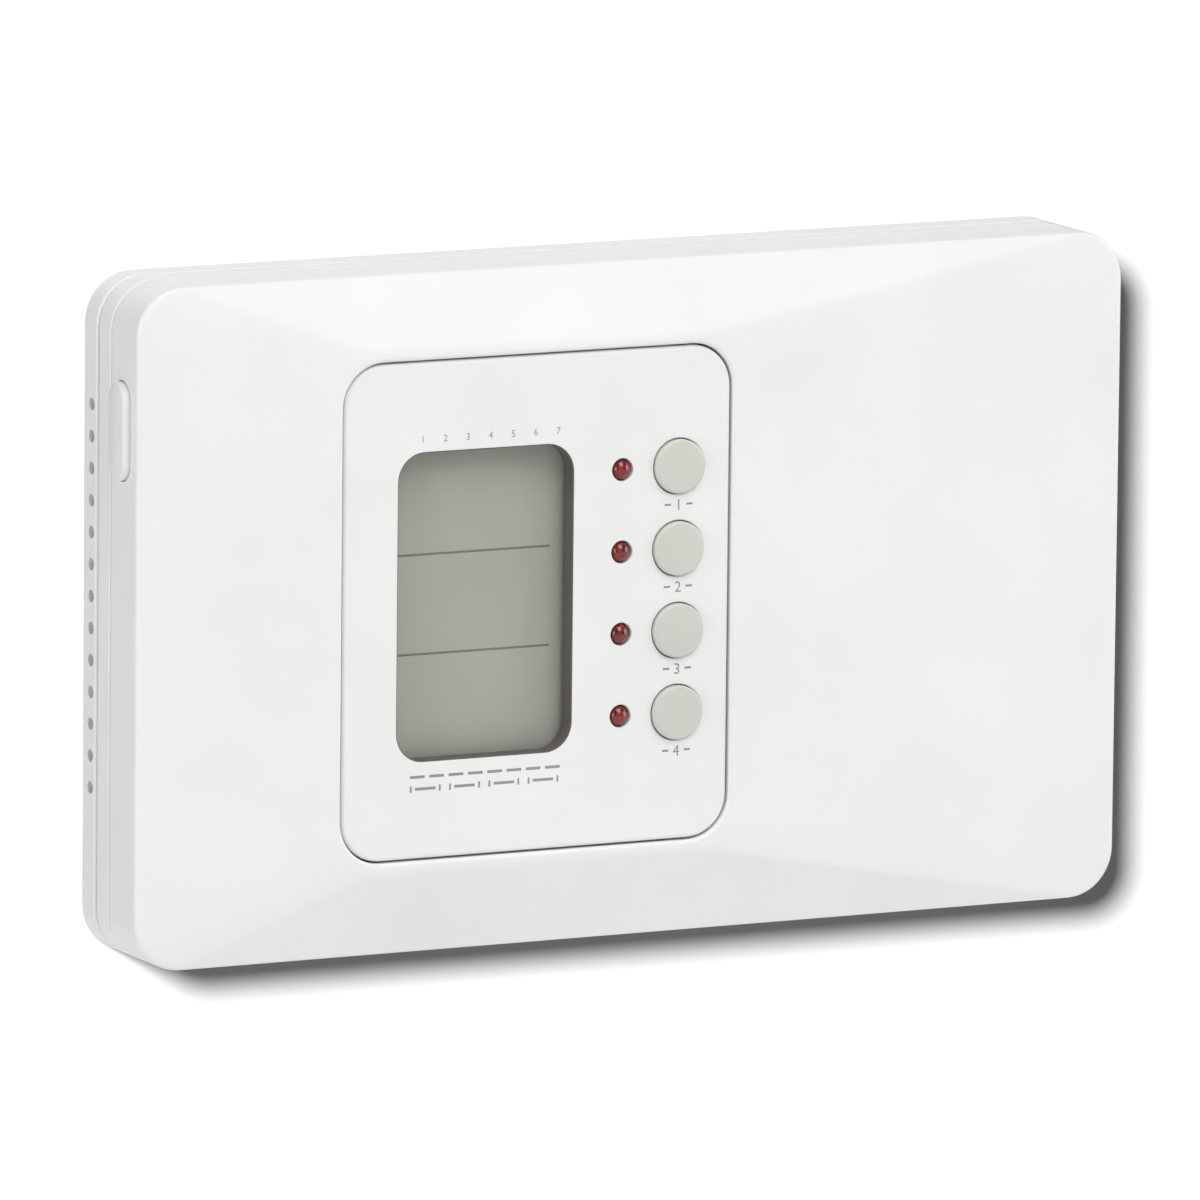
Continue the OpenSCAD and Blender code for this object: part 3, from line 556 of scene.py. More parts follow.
def post_profile(radius, tip):
    """A post from inside the floor to its bevelled tip."""
    bevel = 0.2
    return [(radius, PLATE_FLOOR / 2), (radius, tip - bevel), (radius - bevel, tip)]


def wall_plate():
    """The rear shell: a tray with a rim, a groove and a lip that the mid case sits on."""
    bm = bmesh.new()
    turn = edge_turn(CASE_EDGE)
    rings = [case_ring(CAVITY_INSET, PLATE_FLOOR), case_ring(CAVITY_INSET, PLATE_LIP - CASE_EDGE)]
    rings += [case_ring(CAVITY_INSET - inset, PLATE_LIP - drop) for inset, drop in turn[1:]]
    rings += [case_ring(LIP_INSET + inset, PLATE_LIP - drop) for inset, drop in reversed(turn)]
    rings += [case_ring(LIP_INSET, PLATE_GROOVE), case_ring(GROOVE_INSET, PLATE_GROOVE)]
    rings += [case_ring(GROOVE_INSET, PLATE_RIM)]
    rings += [case_ring(inset, PLATE_RIM - drop) for inset, drop in reversed(turn)]
    rings += [case_ring(inset, drop) for inset, drop in turn]
    moulding(bm, rings, plate_holes())
    obj = mesh_object("wall_plate_shell", bm)

    posts = bmesh.new()
    for places, radius, tip in POSTS:
        for x, up in places:
            turned(posts, x, up, post_profile(radius, tip), POST_STEPS)
    shaped(obj, posts, "UNION")

    vents = bmesh.new()
    for side in (-1, 1):
        for i in range(VENTS):
            up = VENT_UP + (i - (VENTS - 1) / 2) * VENT_PITCH
            inner = side * (door.wide / 2 - CAVITY_INSET - VENT_REACH)
            outer = side * (door.wide / 2 + VENT_REACH)
            side_rod(vents, inner, outer, up, VENT_OUT, VENT_RADIUS)
    shaped(obj, vents, "DIFFERENCE")
    add(obj, "base", "case_white", "wall_plate")


# ---- Case: mid case with its deck ----

MID_BACK = 5.0
MID_SEAM = 8.8  # where the mid case meets the door
MID_EDGE = 0.3
MID_FLOOR = 1.5  # thickness of the mid case beside the deck
DECK_FILLET = 0.6
DECK_UNDER = 11.4
DECK_INSET = 2.9
DECK_INSET_RIGHT = 4.4
DECK_WALL = 1.6
SCREW_HOLE_RADIUS = 1.7
SCREW_RECESS_RADIUS = 3.2
SCREW_RECESS_DEPTH = 0.9
KEY_FLANGE = 1.0
KEY_CLEAR = 0.25
KEY_HOLE_RADIUS = 1.5
HINGE_RADIUS = 1.6
LUG_IN = 36.0
LUG_OUT = 40.0
LUG_GAP = 0.3
POCKET_HALF = 9.0  # half the height of the pocket for the latch
POCKET_WALL = 0.9
POCKET_ROOT = 1.2  # how far the pocket's block and a lug go into the shell
LUG_ROOT = 1.0
POCKET_END = -67.3


def deck_ring(inset, out):
    x = (DECK_INSET - DECK_INSET_RIGHT) / 2
    wide = door.wide - DECK_INSET - DECK_INSET_RIGHT - 2 * inset
    tall = door.tall - 2 * DECK_INSET - 2 * inset
    return rounded_rect(x, 0, wide, tall, CASE_RADIUS - DECK_INSET - inset, out)


def key_extent(i):
    return Extent(f"program_key_{i}")


def mid_case():
    """The middle shell: a band between the two seams, with a raised deck that holds the panel and keys."""
    turn = edge_turn(MID_EDGE, 4)
    bm = bmesh.new()
    rings = [deck_ring(inset, middle.front - drop) for inset, drop in reversed(turn)]
    rings += bend(deck_ring(0, MID_SEAM + DECK_FILLET), deck_ring(0, MID_SEAM),
                  deck_ring(-DECK_FILLET, MID_SEAM), 3)
    rings += [case_ring(inset, MID_SEAM - drop) for inset, drop in reversed(turn)]
    rings += [case_ring(inset, MID_BACK + drop) for inset, drop in turn]
    rings += [case_ring(DOOR_WALL, MID_BACK), case_ring(DOOR_WALL, MID_SEAM - MID_FLOOR)]
    rings += [deck_ring(DECK_WALL, MID_SEAM - MID_FLOOR), deck_ring(DECK_WALL, DECK_UNDER)]

    def panel_hole(grow, out):
        return panel_ring(grow - PANEL_WALL, out)

    def key_hole(key):
        return lambda grow, out: key.ring(KEY_CLEAR - KEY_FLANGE + grow, KEY_HOLE_RADIUS + grow, out)

    outlines = [panel_hole] + [key_hole(key_extent(i)) for i in range(1, KEYS + 1)]
    holes = [hole_rings(outline, middle.front, DECK_UNDER, 0.25) for outline in outlines]
    moulding(bm, rings, holes)
    obj = mesh_object("mid_case_shell", bm)

    extra = bmesh.new()
    for side in (-1, 1):
        hinge_lug(extra, side)
    inside = 0.4  # the pocket's block stays this far inside the deck's left and front
    block(extra, -door.wide / 2 + DECK_INSET + inside, POCKET_END + POCKET_WALL,
          latch.up, POCKET_HALF + POCKET_WALL, MID_SEAM - POCKET_ROOT, middle.front - inside)
    shaped(obj, extra, "UNION")

    cut = bmesh.new()
    block(cut, -door.wide / 2 + DOOR_WALL, POCKET_END, latch.up, POCKET_HALF,
          MID_SEAM, middle.front + OVERLAP)
    recess_floor = middle.front - SCREW_RECESS_DEPTH
    profile = [(SCREW_HOLE_RADIUS, DECK_UNDER - OVERLAP), (SCREW_HOLE_RADIUS, recess_floor),
               (SCREW_RECESS_RADIUS, recess_floor), (SCREW_RECESS_RADIUS, middle.front + OVERLAP)]
    for x, up in CASE_SCREWS:
        turned(cut, x, up, profile, POST_STEPS)
    shaped(obj, cut, "DIFFERENCE")
    add(obj, "base", "case_white", "mid_case")


def hinge_lug(bm, side):
    """A lug with a round head that holds a hinge pin."""
    steps = 16
    head = [math.pi * step / steps for step in range(steps + 1)]
    foot = MID_SEAM - LUG_ROOT - pins.out
    outline = [(HINGE_RADIUS * math.cos(a), HINGE_RADIUS * math.sin(a)) for a in head]
    outline += [(-HINGE_RADIUS, foot), (HINGE_RADIUS, foot)]
    ends = sorted((side * LUG_IN, side * LUG_OUT))
    moulding(bm, [[at(pins.x + x, up, pins.out + out) for x, out in outline] for up in ends])


# ---- Door ----

RIM_INSET = 1.2
RIM_ROUND = 0.85  # length of the rounding between the door's side and its front
CREST_MARGIN = 1.5  # the sloping front rises to this far outside the control panel
CREST_SOFT = 3.0  # length of the soft bend at the top of the slope
CUTOUT_EDGE = 0.5
BACK_EDGE = 0.3
SHOULDER = (1.2, 0.9)  # inset and drop of the bevel inside the door's front corner
BEAD_LENGTH = 2 * (LUG_IN - LUG_GAP)
PIN_DEPTH = 5.0
PIN_BORE = 0.82
LATCH_WIDE = 5.4
LATCH_LONG = 13.9
LATCH_CLEAR = 0.15
LATCH_OUT = 12.7  # middle of the latch, out from the wall
LATCH_PROUD = 1.3
SEAT_LEFT = -69.3  # the seat for the latch's spring, a wall inside the door
SEAT_RIGHT = -68.1
SEAT_BACK = 10.3
SEAT_FRONT = 17.1
SEAT_HALF = 4.0
NOTCH_MARGIN = 0.5  # how far a lug's notch reaches past its round head, across and at its front
NOTCH_MARGIN_FRONT = 0.6


def toward(ring, target, distance):
    """Each point of ring moved towards its match in target by distance millimetres."""
    return [a + (b - a).normalized() * distance * MM for a, b in zip(ring, target)]


def slope_edge(outer, rim, crest):
    """Where the slope from crest to rim would reach the outer wall."""
    edge = []
    for wall_point, rim_point, crest_point in zip(outer, rim, crest):
        rise = rim_point.y - crest_point.y
        run = (Vector((crest_point.x, crest_point.z)) - Vector((rim_point.x, rim_point.z))).length
        gap = (Vector((wall_point.x, wall_point.z)) - Vector((rim_point.x, rim_point.z))).length
        edge.append(Vector((wall_point.x, rim_point.y + gap * rise / run, wall_point.z)))
    return edge


def lowered(ring, distance):
    """The ring moved towards the wall by distance millimetres."""
    return [point + Vector((0, distance * MM, 0)) for point in ring]


def door_skin():
    """Rings round the door's section: outside from the back edge to the cut-out, then back inside."""
    outer = case_ring(0, RIM_OUT)
    rim = case_ring(RIM_INSET, RIM_OUT)
    crest = panel_ring(CREST_MARGIN, door.front)
    edge = slope_edge(outer, rim, crest)
    level = panel_ring(PANEL_GAP + CUTOUT_EDGE + 0.1, door.front)
    turn = edge_turn(CUTOUT_EDGE, 4)
    back = edge_turn(BACK_EDGE, 3)
    inset_shoulder, drop_shoulder = SHOULDER
    inner_front = RIM_OUT - DOOR_WALL

    rings = [case_ring(inset, door.back + drop) for inset, drop in reversed(back)]
    rings += bend(lowered(edge, RIM_ROUND), edge, toward(edge, crest, RIM_ROUND), 7)
    rings += bend(toward(crest, edge, CREST_SOFT), crest, level, 6)
    rings += [panel_ring(PANEL_GAP + inset, door.front - drop) for inset, drop in reversed(turn)]
    rings += [panel_ring(PANEL_GAP, door.front - DOOR_WALL)]
    rings += [panel_ring(CREST_MARGIN, door.front - DOOR_WALL)]
    rings += [case_ring(DOOR_WALL + inset_shoulder, inner_front)]
    rings += [case_ring(DOOR_WALL, inner_front - drop_shoulder)]
    rings += [case_ring(DOOR_WALL, door.back + BACK_EDGE), case_ring(DOOR_WALL - BACK_EDGE, door.back)]
    return rings


def hinge_corner(bm):
    """What is cut from the door's rear right edge so that it is round about the hinge."""
    past = HINGE_RADIUS + 0.5
    outline = [(HINGE_RADIUS * math.cos(a), -HINGE_RADIUS * math.sin(a)) for a in quarter_turn(12)]
    outline += [(0, -past), (past, -past), (past, 0)]
    moulding(bm, [[at(pins.x + x, up, pins.out + out) for x, out in outline]
                  for up in (door.bottom - OVERLAP, door.top + OVERLAP)])


def side_pill(bm, long, wide, levels):
    """A round-ended shape on the left side of the door. levels are (inset, x) pairs from outside inwards."""
    straight = (long - wide) / 2
    steps = 2 * ARC_STEPS
    half_turn = [math.pi * step / steps for step in range(steps + 1)]
    rings = []
    for inset, x in levels:
        radius = wide / 2 - inset
        rings.append([
            at(x, latch.up + end * (straight + radius * math.sin(a)), LATCH_OUT + end * radius * math.cos(a))
            for end in (1, -1) for a in half_turn
        ])
    moulding(bm, rings)


def front_door():
    """The hinged cover, with its hinge bead, spring seat, notches for the lugs and holes for pins and tab."""
    bm = bmesh.new()
    skin(bm, door_skin(), closed=True)
    obj = mesh_object("door_cover", bm)

    bead = bmesh.new()
    upright_rod(bead, pins.x, -BEAD_LENGTH / 2, BEAD_LENGTH / 2, pins.out, HINGE_RADIUS)
    block(bead, SEAT_LEFT, SEAT_RIGHT, latch.up, SEAT_HALF, SEAT_BACK, SEAT_FRONT, 0.1)
    shaped(obj, bead, "UNION")

    corner = bmesh.new()
    hinge_corner(corner)
    shaped(obj, corner, "DIFFERENCE")

    notches = bmesh.new()
    reach = HINGE_RADIUS + NOTCH_MARGIN
    for side in (-1, 1):
        block(notches, pins.x - reach, pins.x + reach,
              side * (LUG_IN + LUG_OUT) / 2, (LUG_OUT - LUG_IN) / 2 + LUG_GAP,
              door.back - NOTCH_MARGIN, pins.out + HINGE_RADIUS + NOTCH_MARGIN_FRONT, 0.05)
    shaped(obj, notches, "DIFFERENCE")

    holes = bmesh.new()
    for side in (-1, 1):
        low, high = sorted((side * (LUG_IN - PIN_DEPTH), side * (LUG_IN + OVERLAP)))
        upright_rod(holes, pins.x, low, high, pins.out, PIN_BORE)
    side_pill(holes, LATCH_LONG + 2 * LATCH_CLEAR, LATCH_WIDE + 2 * LATCH_CLEAR,
              [(0, -door.wide / 2 - OVERLAP), (0, -door.wide / 2 + DOOR_WALL + 0.5)])
    shaped(obj, holes, "DIFFERENCE")
    add(obj, "door", "case_white", "door")


# ---- Latch tab and its spring ----

TAB_CROWN = ((0.15, 0.0), (0.6, 0.02), (1.1, 0.07), (1.6, 0.16))  # (half width, drop) over its face
TAB_ROUND = (0.62, 0.75)  # inset and drop of the rounding that follows
TAB_ROUND_START = 0.24
TAB_FLANGE = 1.0  # thickness of the flange inside the door
TAB_FLANGE_BACK = 3.3  # the flange's reach behind the tab's middle, and in front of it
TAB_FLANGE_FRONT = 2.3
HOOK_HALF = 3.0  # half the height of the hook
HOOK_ARM = (0.6, 1.6)  # left and right side, from the flange's face
HOOK_FOOT = (0.1, 0.9)
HOOK_THICK = 1.1
STUB_LONG = 1.6  # the stub that centres the spring
STUB_RADIUS = 1.35
SPRING_WIRE = 0.25  # radius of the wire
SPRING_TURNS = 5
SPRING_STEPS = 28  # rings of wire in a turn
SPRING_SIDES = 12


def latch_tab():
    """The white tab in the side of the door: a pillow with a rounded edge, on a flange inside the wall."""
    bm = bmesh.new()
    tip = -door.wide / 2 - LATCH_PROUD
    flange = -door.wide / 2 + DOOR_WALL + 0.1
    inset_round, drop_round = TAB_ROUND
    crown = [(LATCH_WIDE / 2 - reach, tip + drop) for reach, drop in TAB_CROWN]
    rounding = [(inset_round * (1 - math.sin(a)), tip + TAB_ROUND_START + drop_round * (1 - math.cos(a)))
                for a in quarter_turn(6)]
    side_pill(bm, LATCH_LONG, LATCH_WIDE, crown + rounding + [(0, flange + 0.3)])
    block(bm, flange, flange + TAB_FLANGE, latch.up, latch.tall / 2,
          LATCH_OUT - TAB_FLANGE_BACK, LATCH_OUT + TAB_FLANGE_FRONT)
    hook_fronts = (LATCH_OUT - LATCH_WIDE / 2, latch.back + HOOK_THICK)
    for (left, right), front in zip((HOOK_ARM, HOOK_FOOT), hook_fronts):
        block(bm, flange + left, flange + right, latch.up, HOOK_HALF, latch.back, front, 0.1)
    side_rod(bm, latch.right - STUB_LONG, latch.right, latch.up, LATCH_OUT, STUB_RADIUS)
    add(mesh_object("latch_tab", bm), "latch", "tab_white", "latch_button")


def latch_spring():
    """The coil between the latch and its seat on the door."""
    coil = Extent("latch_spring")
    radius = coil.tall / 2 - SPRING_WIRE
    start = coil.left + SPRING_WIRE
    length = coil.wide - 2 * SPRING_WIRE
    steps = SPRING_TURNS * SPRING_STEPS
    along = Vector((1, 0, 0))
    rings = []
    for step in range(steps + 1):
        turn = 2 * math.pi * step / SPRING_STEPS
        outward = at(0, math.cos(turn), math.sin(turn)) / MM
        middle_point = at(start + length * step / steps, coil.up, LATCH_OUT) + outward * radius * MM
        rings.append([
            middle_point + (outward * math.cos(a) + along * math.sin(a)) * SPRING_WIRE * MM
            for a in full_turn(SPRING_SIDES)
        ])
    bm = bmesh.new()
    moulding(bm, rings)
    obj = mesh_object("latch_coil", bm)
    paint(obj, materials["zinc_steel"])
    smooth(obj)
    at(coil.right, coil.up, LATCH_OUT)
    at(coil.left, coil.up, LATCH_OUT)
    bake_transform(obj)
    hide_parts("latch_spring")


# ---- Control panel ----

PANEL_EDGE = 0.55
BUTTON_RADIUS = 3.85
BUTTON_CLEAR = 0.15
LED_RADIUS = 1.5
LED_CLEAR = 0.12
CLIP_UPS = (-4.0, 22.0)  # heights of the panel's clips, from its middle
CLIP_HALF = 3.0
CLIP_THICK = 1.2
CLIP_RISE = 2.0  # how far a clip reaches up inside the panel


def button_extent(i):
    return Extent(f"channel_button_{i}")


def led_extent(i):
    return Extent(f"led_{i}")


def control_panel():
    """The fixed fascia: a shallow tray with its holes, and four clips that reach into the mid case."""
    turn = edge_turn(PANEL_EDGE, 4)
    bm = bmesh.new()
    deck = middle.front
    under = panel.front - FASCIA
    rings = [panel_ring(-inset, panel.front - drop) for inset, drop in reversed(turn)]
    rings += [panel_ring(-inset, deck + drop) for inset, drop in edge_turn(0.2, 2)]
    rings += [panel_ring(-PANEL_WALL, deck), panel_ring(-PANEL_WALL, under)]

    def round_hole(x, up, radius):
        return lambda grow, out: circle(x, up, radius + grow, out)

    def display_hole(grow, out):
        return opening_ring(OPENING_LINER + 0.02 + grow, out)

    holes = [hole_rings(display_hole, panel.front, under, 0.15)]
    for i in range(1, CHANNELS + 1):
        button = button_extent(i)
        light = led_extent(i)
        button_hole = round_hole(button.x, button.up, BUTTON_RADIUS + BUTTON_CLEAR)
        light_hole = round_hole(light.x, light.up, LED_RADIUS + LED_CLEAR)
        holes.append(hole_rings(button_hole, panel.front, under, 0.2))
        holes.append(hole_rings(light_hole, panel.front, under, 0.15))
    moulding(bm, rings, holes)
    obj = mesh_object("panel_fascia", bm)

    clips = bmesh.new()
    for side in (-1, 1):
        outer = panel.x + side * (panel.wide / 2 - PANEL_WALL - 0.1)
        left, right = sorted((outer, outer - side * CLIP_THICK))
        for up in CLIP_UPS:
            block(clips, left, right, panel.up + up, CLIP_HALF, panel.back, deck + CLIP_RISE, 0.1)
    shaped(obj, clips, "UNION")
    add(obj, "base", "case_white", "control_panel")


# ---- Display ----

DISPLAY_LINES = (0.344, 0.668)  # heights of the two lines, as shares of the opening from its top
DISPLAY_AIR = 0.15  # between the clear window and the glass
LINE_THICK = 0.32
LINE_END_GAP = 1.6  # the lines stop this far from the opening's right edge
BEZEL_FOOT = 1.7  # how far the frame's inner foot stands outside the opening


def bezel_ring(grow, out):
    return bezel.ring(grow - BEZEL_BORDER, 1.5, out)


def display_bezel():
    """The dark frame round the display: it lines the opening and holds the window behind the fascia."""
    bm = bmesh.new()
    front = bezel.front
    fascia_under = panel.front - FASCIA
    lens_face = lens.front + 0.1
    turn = edge_turn(0.15, 3)
    rings = [opening_ring(0, lens_face)]
    rings += [opening_ring(inset, front - drop) for inset, drop in turn]
    rings += [opening_ring(OPENING_LINER, front), opening_ring(OPENING_LINER, fascia_under)]
    rings += [bezel_ring(BEZEL_BORDER, fascia_under), bezel_ring(BEZEL_BORDER, bezel.back)]
    rings += [bezel_ring(BEZEL_FOOT, bezel.back), bezel_ring(BEZEL_FOOT, lens_face)]
    skin(bm, rings, closed=True)
    add(mesh_object("display_bezel", bm), "base", "frame_black", "lcd_frame")


def node_plate(node, name, slot, radius, edge, gap=0.0):
    """A thin plate in the place of a CAD plate, with rounded edges and a gap of air behind it."""
    size = Extent(node)
    bm = bmesh.new()
    slab(bm, lambda inset, out: size.ring(-inset, radius, out), size.back + gap, size.front, edge)
    add(mesh_object(name, bm), "base", slot, node)


def display_lines():
    """The two thin lines printed on the display."""
    for i, share in enumerate(DISPLAY_LINES, 1):
        up = opening_top - share * (opening_top - opening_bottom)
        bm = bmesh.new()
        block(bm, opening_left - 0.5, opening_right - LINE_END_GAP, up, LINE_THICK / 2,
              display.front - 0.01, display.front + 0.02, 0.01)
        add(mesh_object(f"display_line_{i}", bm), "base", "display_grey", look=line_ink)


# ---- Buttons, lights and keys ----

BUTTON_EDGE = 0.4
BUTTON_CROWN = 0.12
BUTTON_STEM = 1.4
FLANGE_REACH = 1.0
FLANGE_THICK = 0.8  # thickness of the flange that keeps a button or key in
LEG_ACROSS = 1.27  # an LED's leg, from its middle
LEG_HALF = 0.25
LEG_LONG = 1.2
LED_RIM = 0.3  # how far an LED's rim stands out from its lens
LED_RIM_THICK = 0.7
KEY_RADIUS = 1.3
KEY_EDGE = 0.45
KEY_DISH = 0.18
DISH_STEPS = ((2.3, 1.0), (1.4, 0.6), (0.7, 0.15))  # (inset from the edge rounding, share of the depth)
KEY_STEM = 0.9
KEY_FLANGE_THICK = 0.7
KEY_SYMBOL_RISE = 0.08


def crowned(radius, face, edge, crown, rings=5):
    """(radius, out) pairs over a slightly crowned round face, from its middle to its side."""
    flat = radius - edge
    pairs = [(flat * share / rings + 0.02, face - crown * (share / rings) ** 2) for share in range(rings)]
    pairs += [(flat + edge * math.sin(a), face - crown - edge * (1 - math.cos(a)))
              for a in quarter_turn(ROUND_STEPS)]
    return pairs


def channel_button(i):
    size = button_extent(i)
    flange = panel.front - FASCIA - 0.1
    bm = bmesh.new()
    profile = crowned(BUTTON_RADIUS, size.front, BUTTON_EDGE, BUTTON_CROWN)
    profile += [(BUTTON_RADIUS, flange), (BUTTON_RADIUS + FLANGE_REACH, flange)]
    profile += [(BUTTON_RADIUS + FLANGE_REACH, flange - FLANGE_THICK), (BUTTON_STEM, flange - FLANGE_THICK)]
    profile += [(BUTTON_STEM, size.back)]
    turned(bm, size.x, size.up, profile)
    add(mesh_object(f"button_cap_{i}", bm), f"channel_{i}", "button_grey", f"channel_button_{i}")


def indicator_light(i):
    size = led_extent(i)
    shoulder = size.front - LED_RADIUS
    rim = LED_RADIUS + LED_RIM
    rim_back = size.back + LEG_LONG
    rim_front = rim_back + LED_RIM_THICK
    dome = quarter_turn(10)[:-1]
    profile = [(0.03 + LED_RADIUS * math.sin(a), shoulder + LED_RADIUS * math.cos(a)) for a in dome]
    profile += [(LED_RADIUS, shoulder), (LED_RADIUS, rim_front + 0.1), (rim, rim_front), (rim, rim_back)]
    bm = bmesh.new()
    turned(bm, size.x, size.up, profile, POST_STEPS)
    add(mesh_object(f"light_lens_{i}", bm), "base", "led_red", f"led_{i}")
    legs = bmesh.new()
    for side in (-1, 1):
        x = size.x + side * LEG_ACROSS
        block(legs, x - LEG_HALF, x + LEG_HALF, size.up, LEG_HALF, size.back, rim_back, 0.05)
    add(mesh_object(f"light_legs_{i}", legs), "base", "zinc_steel")


def program_key(i):
    size = key_extent(i)
    flange = DECK_UNDER - 0.1
    bm = bmesh.new()

    def ring_at(inset, out):
        return size.ring(-KEY_FLANGE - inset, max(KEY_RADIUS - inset, 0.3), out)

    rings = [ring_at(KEY_EDGE + inset, size.front - KEY_DISH * share) for inset, share in DISH_STEPS]
    rings += [ring_at(inset, size.front - drop) for inset, drop in reversed(edge_turn(KEY_EDGE, 4))]
    rings += [ring_at(0, flange)]
    flange_back = flange - KEY_FLANGE_THICK
    rings += [size.ring(0, KEY_HOLE_RADIUS, out) for out in (flange, flange_back)]
    moulding(bm, rings)
    turned(bm, size.x, size.up, [(KEY_STEM, flange_back + 0.01), (KEY_STEM, size.back)], 24)
    add(mesh_object(f"key_cap_{i}", bm), f"key_{i}", "key_grey", f"program_key_{i}")
    key_symbol(i, size, size.front - KEY_DISH)


def key_symbol(i, size, face):
    """A raised symbol on a key: back, forward, minus, plus, a ring and a bar."""
    bm = bmesh.new()
    back = face - 0.02
    front = face + KEY_SYMBOL_RISE
    reach = 1.1
    half = 0.18
    if i in (1, 2):
        aim = -1 if i == 1 else 1
        outline = [(-0.8 * aim, -1.0), (0.9 * aim, 0), (-0.8 * aim, 1.0)]
        rings = [[at(size.x + x, size.up + up, out) for x, up in outline] for out in (front, back)]
        moulding(bm, rings)
    if i in (3, 4, 6):
        block(bm, size.x - reach, size.x + reach, size.up, half, back, front, 0.03)
    if i == 5:
        rings = [circle(size.x, size.up, radius, out, POST_STEPS)
                 for radius, out in ((0.75, back), (0.75, front), (1.05, front), (1.05, back))]
        skin(bm, rings, closed=True)
    obj = mesh_object(f"key_symbol_{i}", bm)
    if i == 4:
        bar = bmesh.new()
        block(bar, size.x - half, size.x + half, size.up, reach, back, front, 0.03)
        shaped(obj, bar, "UNION")
    add(obj, f"key_{i}", "key_grey", look=print_ink)


# ---- Print: generic marks and numbers ----

PRINT_THICK = 0.02
DIGIT_SHARE = 0.73  # a digit's height as a share of the font's size
NUMBER_TALL = 1.6
DAY_TALL = 1.0
DAYS = 7
DAY_PITCH = 3.5
DAY_LEFT = 3.6
DAY_RISE = 1.5
LABEL_DROP = 5.4  # middle of a button's label, below the button's middle
BAR_ACROSS = 1.7
BAR_HALF = 0.5
BAR_THICK = 0.3
ROW_LEFT = 2.0
ROW_THICK = 0.4
UPPER_DROP = 2.2
UPPER_DASHES = 8
UPPER_PITCH = 3.0
UPPER_DASH = 2.3
LOWER_DROP = 3.9
LOWER_BRACKETS = 4
LOWER_PITCH = 6.1
BRACKET_TALL = 0.9
BRACKET_PARTS = ((0.0, 0.3, BRACKET_TALL), (0.8, 4.0, ROW_THICK), (4.5, 4.8, BRACKET_TALL))


def printed(name, bm):
    add(mesh_object(name, bm), "base", "key_grey", look=print_ink)


def number(name, digit, x, up, tall):
    """A printed number, centred on x with its foot at up."""
    curve = bpy.data.curves.new(name, "FONT")
    curve.body = str(digit)
    curve.align_x = "CENTER"
    curve.size = tall / DIGIT_SHARE * MM
    curve.extrude = PRINT_THICK / 2 * MM
    curve.resolution_u = 4
    source = bpy.data.objects.new(name, curve)
    bpy.context.scene.collection.objects.link(source)
    bpy.context.view_layer.update()
    bm = bmesh.new()
    bm.from_mesh(bpy.data.meshes.new_from_object(source))
    bpy.data.objects.remove(source)
    stand = Matrix.Translation(at(x, up, panel.front)) @ Matrix.Rotation(math.pi / 2, 4, "X")
    bmesh.ops.transform(bm, matrix=stand, verts=bm.verts)
    printed(name, bm)


def dash(bm, left, right, up, tall):
    """A printed bar on the panel's face."""
    block(bm, left, right, up, tall / 2, panel.front - PRINT_THICK / 2, panel.front + PRINT_THICK / 2,
          0.008)


def print_on_panel():
    """Numbers over the display and under the buttons, and plain dashes where the photo has words."""
    for day in range(DAYS):
        number(f"day_number_{day + 1}", day + 1, opening_left + DAY_LEFT + day * DAY_PITCH,
               opening_top + DAY_RISE, DAY_TALL)
    for i in range(1, CHANNELS + 1):
        button = button_extent(i)
        number(f"channel_number_{i}", i, button.x, button.up - LABEL_DROP - NUMBER_TALL / 2, NUMBER_TALL)
        bars = bmesh.new()
        for side in (-1, 1):
            x = button.x + side * BAR_ACROSS
            dash(bars, x - BAR_HALF, x + BAR_HALF, button.up - LABEL_DROP, BAR_THICK)
        printed(f"channel_bars_{i}", bars)
    upper = bmesh.new()
    for i in range(UPPER_DASHES):
        left = opening_left + ROW_LEFT + i * UPPER_PITCH
        dash(upper, left, left + UPPER_DASH, opening_bottom - UPPER_DROP, ROW_THICK)
    printed("print_row_upper", upper)
    lower = bmesh.new()
    for i in range(LOWER_BRACKETS):
        left = opening_left + ROW_LEFT + i * LOWER_PITCH
        for start, end, tall in BRACKET_PARTS:
            dash(lower, left + start, left + end, opening_bottom - LOWER_DROP, tall)
    printed("print_row_lower", lower)


# ---- The CAD nodes that stay ----

def dress_cad_nodes():
    """Gives every CAD node its slot's material, and the visible ones smooth shading."""
    for part in frame["record"]["subparts"]:
        obj = frame["nodes"][part["node"]]
        paint(obj, materials[part["material_slot"]])
        if not obj.hide_render:
            smooth(obj)


# ---- Studio: camera, wall, floor and lights ----

CAMERA_AZIMUTH = -26.615  # degrees, to the left of the front
CAMERA_ELEVATION = 9.393
CAMERA_ROLL = 0.588
CAMERA_DISTANCE = 2.18125  # metres
CAMERA_LENS = 462.6
AIM = Vector((0.00346, 0.0, -0.003285))
FLOOR_UP = -0.25  # metres, as everything in the studio
FLOOR_HALF = 3.0
FLOOR_SHADE = 0.9
WALL_HALF = 0.6
WALL_GAP = 0.0004
WALL_SHADE = 0.2
SUN_POWER = 20.0
SUN_ANGLE = 0.2  # radians, for the soft edge of the drop shadow
SUN_TRAVEL = Vector((0.725, 1.0, -0.395))
WORLD_STRENGTH = 0.18
LIGHT_BOXES = (  # name, place, width and power
    ("front_box", (-0.3, -2.2, 0.5), 1.8, 4.5),
    ("high_box", (0.1, -1.5, 1.8), 1.4, 24.5),
    ("top_box", (0.1, -0.3, 1.9), 1.4, 10.0),
    ("left_box", (-2.0, -0.5, 0.2), 1.4, 20.0),
    ("right_box", (2.0, -0.8, 0.4), 1.4, 16.0),
    ("back_box", (0.4, 2.0, 0.8), 1.6, 7.5),
)


